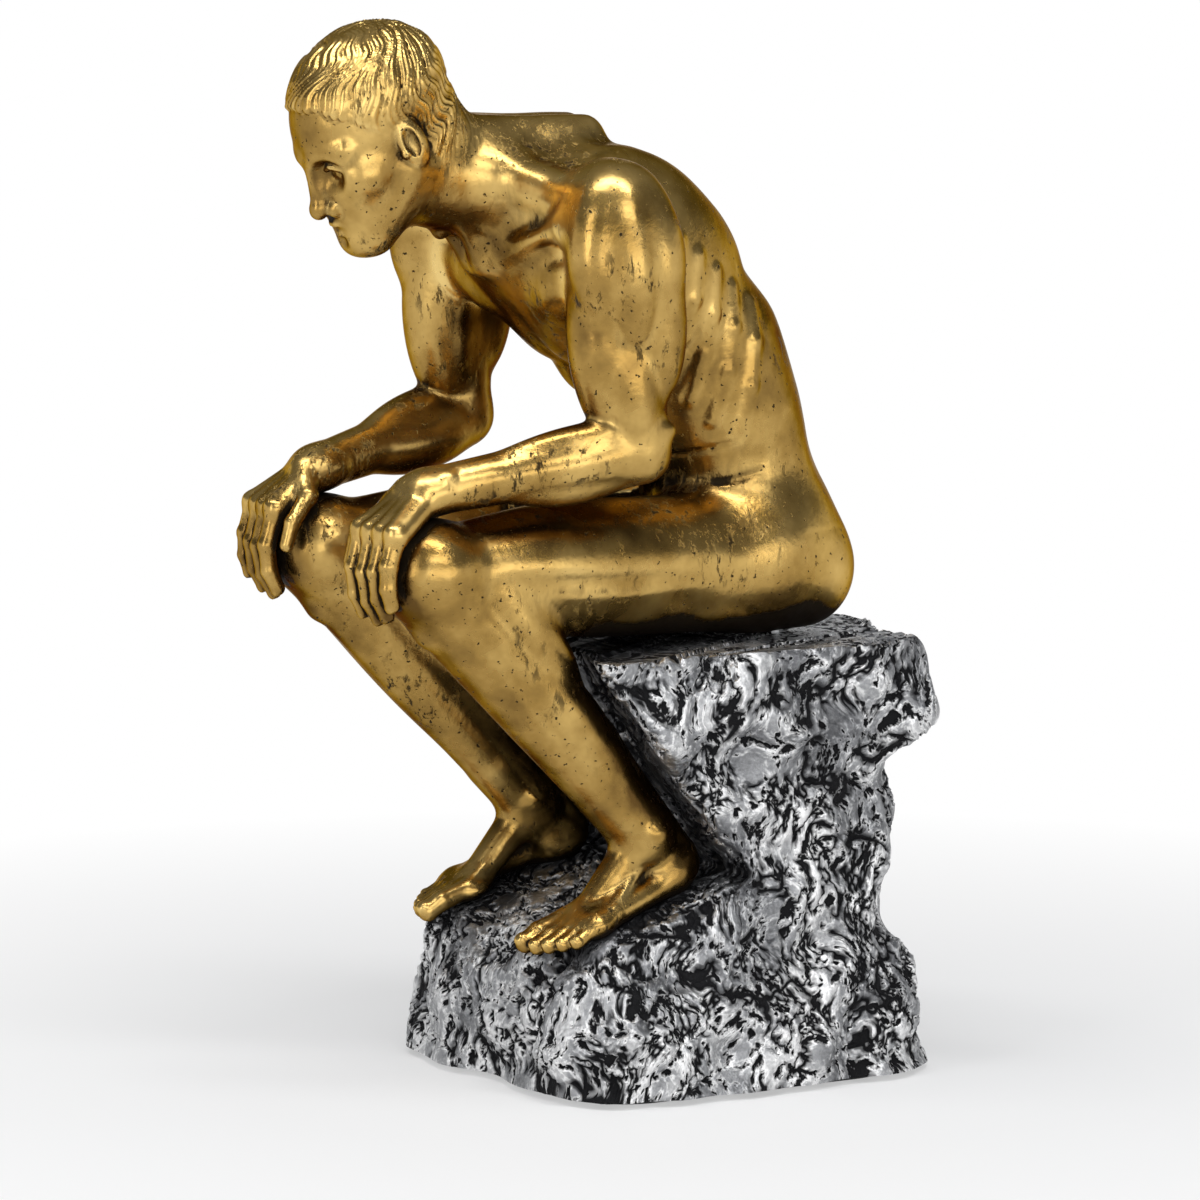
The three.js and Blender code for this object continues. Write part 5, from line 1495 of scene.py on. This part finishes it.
# How far round a point its shading looks
HOLLOW_REACHES = (0.7, 1.6, 3.2)
RIDGE_REACH = 1.6
PAINTED_SHADE_REACHES = (7, 16)
ROCK_HOLLOW_REACHES = (2.0, 5.0, 11.0)


def skin_mesh(name, points, triangles):
    normals = normals_of(points, triangles)
    attributes = {
        "hollow": shut_in(points, normals, HOLLOW_REACHES),
        "ridge": stands_out(points, normals, RIDGE_REACH),
        "painted_shade": painted_shade(points, normals, PAINTED_SHADE_REACHES),
    }
    return mesh_from(name, points, triangles, attributes)


def box_of(*nodes):
    corners = np.array([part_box(name) for name in nodes], dtype=float) / MM
    return corners[:, 0].min(axis=0), corners[:, 1].max(axis=0)


SKIN_MARGIN = 5.0


def figure_skin(clay, node_name, facet):
    low, high = box_of(node_name)
    return skin(clay, low - SKIN_MARGIN, high + SKIN_MARGIN, facet)


def arm_side(name):
    return lambda p: sampled(whole_arm[name], p.T) - sampled(trunk, p.T)


def above_neck_seam(p):
    return neck.axis @ (p - neck_seam[:, None])


# A casting of the figure: the clay's skin, clipped by fields and then cut by planes
def make_casting(node_name, clay, facet, clips=(), planes=()):
    points, triangles = figure_skin(clay, node_name, facet)
    for beyond in clips:
        points, triangles = clipped(points, triangles, beyond)
    mesh = skin_mesh(node_name, points, triangles)
    if clips or planes:
        close_cuts(mesh, planes)
    add_piece(f"{node_name}_gilt", mesh, gold, "gold_resin", node_name)


def make_torso():
    left_side = arm_side("left")
    right_side = arm_side("right")
    clips = (
        lambda p: -left_side(p),
        lambda p: -right_side(p),
        lambda p: np.minimum(hip_seam_y - p[1], crease_z - p[2]),
        above_neck_seam,
    )
    make_casting("torso", whole_body, TRUNK_FACET, clips, [(vec(0, 0, SEAT_HEIGHT), -UP)])


def make_leg(name, half):
    planes = (
        (vec(0, hip_seam_y, 0), -FORWARD),
        (vec(0, 0, crease_z), UP),
        (heel, -sole_up),
    )
    make_casting(f"{name}_leg", lower_body, LEG_FACET, [lambda p: -half * p[0]], planes)


def make_arm(name):
    shoulder = Clay().add(trunk.lump()).add(whole_arm[name].lump(), SHOULDER_BLEND)
    shoulder.carve(whole_leg[name].lump(CONTACT))
    make_casting(f"{name}_arm", shoulder, ARM_FACET, [arm_side(name)])


# Crumpled relief of the rock, as a tree that sinks the skin between the crests
LUMP_DEPTH = 1.4 * MM
GOUGE_DEPTH = 1.3 * MM


def relief_tree():
    tree = bpy.data.node_groups.new("rock_relief", "GeometryNodeTree")
    face = tree.interface
    face.new_socket("Geometry", in_out="INPUT", socket_type="NodeSocketGeometry")
    for label, depth in (("Lump depth", LUMP_DEPTH), ("Gouge depth", GOUGE_DEPTH)):
        face.new_socket(label, in_out="INPUT", socket_type="NodeSocketFloat").default_value = depth
    face.new_socket("Material", in_out="INPUT", socket_type="NodeSocketMaterial")
    face.new_socket("Geometry", in_out="OUTPUT", socket_type="NodeSocketGeometry")
    start = node(tree, "NodeGroupInput")
    end = node(tree, "NodeGroupOutput")
    place = node(tree, "GeometryNodeInputPosition")
    lumps, cavity, _ = crumple(tree, place.outputs["Position"])
    free = node(tree, "GeometryNodeInputNamedAttribute", data_type="FLOAT")
    free.inputs["Name"].default_value = "free"
    below_crest = math_node(tree, "SUBTRACT", lumps, 1.0)
    between = product(tree, below_crest, start.outputs["Lump depth"])
    gouged = product(tree, cavity, start.outputs["Gouge depth"])
    sunk = math_node(tree, "SUBTRACT", between, gouged)
    sunk = product(tree, sunk, free.outputs["Attribute"])

    normal = node(tree, "GeometryNodeInputNormal")
    offset = node(tree, "ShaderNodeVectorMath", operation="SCALE")
    link(tree, normal.outputs["Normal"], offset.inputs[0])
    link(tree, sunk, offset.inputs["Scale"])
    keep = node(tree, "GeometryNodeStoreNamedAttribute", data_type="FLOAT_VECTOR", domain="POINT")
    keep.inputs["Name"].default_value = "bed"
    link(tree, start.outputs["Geometry"], keep.inputs["Geometry"])
    link(tree, place.outputs["Position"], keep.inputs["Value"])
    move = node(tree, "GeometryNodeSetPosition")
    link(tree, keep.outputs["Geometry"], move.inputs["Geometry"])
    link(tree, offset.outputs["Vector"], move.inputs["Offset"])
    realize = node(tree, "GeometryNodeRealizeInstances")
    link(tree, move.outputs["Geometry"], realize.inputs["Geometry"])
    paint = node(tree, "GeometryNodeSetMaterial")
    link(tree, realize.outputs["Geometry"], paint.inputs["Geometry"])
    link(tree, start.outputs["Material"], paint.inputs["Material"])
    link(tree, paint.outputs["Geometry"], end.inputs["Geometry"])
    return tree


def grown(base_mesh, tree, settings):
    source = bpy.data.objects.new("rock_base_source", base_mesh)
    bpy.context.scene.collection.objects.link(source)
    modifier = source.modifiers.new("relief", "NODES")
    modifier.node_group = tree
    for item in tree.interface.items_tree:
        if item.in_out == "INPUT" and item.name in settings:
            modifier[item.identifier] = settings[item.name]
    depsgraph = bpy.context.evaluated_depsgraph_get()
    mesh = bpy.data.meshes.new_from_object(source.evaluated_get(depsgraph), depsgraph=depsgraph)
    bpy.data.objects.remove(source)
    return mesh


# The relief fades out beside the figure and towards the underside.
RELIEF_FROM_FIGURE = 0.4
RELIEF_FADE = 3.0


def make_rock():
    points, triangles = figure_skin(rock, "rock_base", ROCK_FACET)
    points, triangles = clipped(points, triangles, lambda p: p[2] - SEAT_HEIGHT)
    normals = normals_of(points, triangles)
    clear = np.clip((sampled(figure, points) - RELIEF_FROM_FIGURE) / RELIEF_FADE, 0, 1)
    raised = np.clip((points[:, 2] - ROCK_UNDERSIDE) / RELIEF_FADE, 0, 1)
    attributes = {
        "free": clear * raised,
        "hollow": shut_in(points, normals, ROCK_HOLLOW_REACHES),
    }
    mesh = mesh_from("rock_base", points, triangles, attributes)
    close_cuts(mesh, [(vec(0, 0, ROCK_UNDERSIDE), -UP)])
    relieved = grown(mesh, relief_tree(), {"Material": silver})
    relieved.name = "rock_base_crumpled"
    add_piece("rock_silvered", relieved, silver, "silver_resin", "rock_base")


# Felt: a sheet with rounded corners and soft edges
def make_felt():
    bm = bmesh.new()
    inner = FELT_HALF_SIDE - FELT_CORNER
    outline = []
    for quarter, (sx, sy) in enumerate(((1, 1), (-1, 1), (-1, -1), (1, -1))):
        for step in range(FELT_CORNER_STEPS + 1):
            turn = math.radians(90 * quarter + 90 * step / FELT_CORNER_STEPS)
            x = sx * inner + FELT_CORNER * math.cos(turn)
            y = sy * inner + FELT_CORNER * math.sin(turn)
            outline.append(bm.verts.new((x * MM, y * MM, 0)))
    bottom = bm.faces.new(outline)
    lifted = bmesh.ops.extrude_face_region(bm, geom=[bottom])["geom"]
    corners = [v for v in lifted if isinstance(v, bmesh.types.BMVert)]
    bmesh.ops.translate(bm, verts=corners, vec=(0, 0, FELT_THICKNESS * MM))
    bmesh.ops.recalc_face_normals(bm, faces=bm.faces[:])
    rims = [e for e in bm.edges if abs(e.verts[0].co.z - e.verts[1].co.z) < 1e-9]
    bmesh.ops.bevel(bm, geom=rims, offset=FELT_EDGE * MM, segments=3, profile=0.5, affect="EDGES")
    bmesh.ops.triangulate(bm, faces=bm.faces[:])
    mesh = bpy.data.meshes.new("felt_sheet")
    bm.to_mesh(mesh)
    bm.free()
    piece = add_piece("felt_sheet", mesh, felt, "felt", "felt_pad")


make_rock()
make_felt()
make_torso()
make_casting("head", upper_body, HEAD_FACET, [lambda p: -above_neck_seam(p)])
make_casting("lap_cloth", Clay().add(lap_cloth), CLOTH_FACET)
for name, half in SIDES:
    make_leg(name, half)
    make_arm(name)

# Dowels and pins are shown as they are in the frame, in steel
for name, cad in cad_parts.items():
    if name.endswith(("_dowel", "_pin")):
        cad.data.materials.clear()
        cad.data.materials.append(steel)

# Camera at the photograph's angle
CAMERA_AZIMUTH = 60
CAMERA_ELEVATION = 8
CAMERA_DISTANCE = 1.8
SENSOR_WIDTH = 36
FRAME_WIDTH_AT_OBJECT = 0.283
AIM = (-0.0052, -0.0145, 0.1109)

camera_data = bpy.data.cameras.new("photo_camera")
camera_data.sensor_width = SENSOR_WIDTH
camera_data.lens = SENSOR_WIDTH * CAMERA_DISTANCE / FRAME_WIDTH_AT_OBJECT
camera = bpy.data.objects.new("photo_camera", camera_data)
turn = math.radians(CAMERA_AZIMUTH)
tilt = math.radians(CAMERA_ELEVATION)
camera.location = (
    AIM[0] + CAMERA_DISTANCE * math.cos(tilt) * math.sin(turn),
    AIM[1] - CAMERA_DISTANCE * math.cos(tilt) * math.cos(turn),
    AIM[2] + CAMERA_DISTANCE * math.sin(tilt),
)
camera.rotation_euler = (math.pi / 2 - tilt, 0, turn)
bpy.context.scene.collection.objects.link(camera)
bpy.context.scene.camera = camera


# White paper: lit near the ornament, so that it keeps the shadow, and plain white further off. Near and far
# are (distance from the middle, share of plain white).
PAPER = (0.9, 0.9, 0.9, 1)
PAPER_NEAR = (0.11, 0.45)
PAPER_FAR = (0.36, 1.0)


def paper_material():
    material, tree, shader = new_material("white_paper")
    shader.inputs["Base Color"].default_value = PAPER
    shader.inputs["Roughness"].default_value = 0.9
    path = node(tree, "ShaderNodeLightPath")
    seen = larger(tree, path.outputs["Is Camera Ray"], path.outputs["Is Glossy Ray"])
    seen = larger(tree, seen, path.outputs["Is Transmission Ray"])
    distance = node(tree, "ShaderNodeVectorMath", operation="LENGTH")
    link(tree, object_coordinates(tree), distance.inputs[0])
    far_off = ramp(tree, distance.outputs["Value"], PAPER_NEAR, PAPER_FAR)
    white = node(tree, "ShaderNodeEmission")
    both = node(tree, "ShaderNodeMixShader")
    link(tree, product(tree, seen, far_off), both.inputs["Fac"])
    link(tree, shader.outputs["BSDF"], both.inputs[1])
    link(tree, white.outputs["Emission"], both.inputs[2])
    link(tree, both.outputs["Shader"], tree.nodes["Material Output"].inputs["Surface"])
    return material


# A round sweep of paper: a wide floor that bends up into a low wall all round
SWEEP_RADIUS = 11.0
SWEEP_BEND = 1.0
SWEEP_HEIGHT = 3.0
SWEEP_SIDES = 96
FLOOR_RINGS = (0.4, 2.0, SWEEP_RADIUS)
BEND_STEPS = 12


def make_stage():
    profile = [(radius, 0.0) for radius in FLOOR_RINGS]
    for step in range(1, BEND_STEPS + 1):
        bend = math.pi / 2 * step / BEND_STEPS
        profile.append((SWEEP_RADIUS + SWEEP_BEND * math.sin(bend), SWEEP_BEND * (1 - math.cos(bend))))
    profile.append((SWEEP_RADIUS + SWEEP_BEND, SWEEP_HEIGHT))
    bm = bmesh.new()
    rings = []
    for radius, height in profile:
        ring = []
        for side in range(SWEEP_SIDES):
            angle = 2 * math.pi * side / SWEEP_SIDES
            ring.append(bm.verts.new((radius * math.cos(angle), radius * math.sin(angle), height)))
        rings.append(ring)
    bm.faces.new(rings[0])
    for lower, upper in zip(rings, rings[1:]):
        for side in range(SWEEP_SIDES):
            beyond = (side + 1) % SWEEP_SIDES
            bm.faces.new((lower[side], upper[side], upper[beyond], lower[beyond]))
    bmesh.ops.recalc_face_normals(bm, faces=bm.faces[:])
    bmesh.ops.reverse_faces(bm, faces=bm.faces[:])
    mesh = bpy.data.meshes.new("paper_sweep")
    bm.to_mesh(mesh)
    bm.free()
    mesh.materials.append(paper_material())
    mesh.shade_smooth()
    sweep = bpy.data.objects.new("paper_sweep", mesh)
    bpy.context.scene.collection.objects.link(sweep)


make_stage()


# Soft lights, as rows of (name, place beside the camera, size, power): a place is (right, toward, height)
LIGHT_AIM = vec(0, 0, 0.12)
LIGHTS = (
    ("overhead_strip", (-0.1, 0.3, 1.1), (1.1, 0.2), 7),
    ("upper_softbox", (0.3, 1.0, 0.9), (0.9, 0.4), 4),
    ("front_softbox", (-0.8, 0.9, 0.5), (0.3, 0.8), 2.5),
    ("fill_panel", (0.9, 2.1, 0.3), (2.8, 1.2), 17),
)
WORLD_COLOUR = (0.9, 0.93, 1.0, 1)
WORLD_STRENGTH = 0.2


def area_light(name, place, size, power):
    data = bpy.data.lights.new(name, "AREA")
    data.shape = "RECTANGLE"
    data.size, data.size_y = size
    data.energy = power
    lamp = bpy.data.objects.new(name, data)
    lamp.location = place
    way = LIGHT_AIM - vec(*place)
    tip = math.atan2(math.hypot(way[0], way[1]), -way[2])
    lamp.rotation_euler = (tip, 0, math.atan2(way[1], way[0]) - math.pi / 2)
    bpy.context.scene.collection.objects.link(lamp)


def beside_camera(right, toward, height):
    return (
        right * math.cos(turn) + toward * math.sin(turn),
        right * math.sin(turn) - toward * math.cos(turn),
        height,
    )


for name, place, size, power in LIGHTS:
    area_light(name, beside_camera(*place), size, power)

world = bpy.data.worlds.new("studio")
world.use_nodes = True
background = world.node_tree.nodes["Background"]
background.inputs["Color"].default_value = WORLD_COLOUR
background.inputs["Strength"].default_value = WORLD_STRENGTH
bpy.context.scene.world = world
bpy.context.scene.view_settings.view_transform = "Standard"
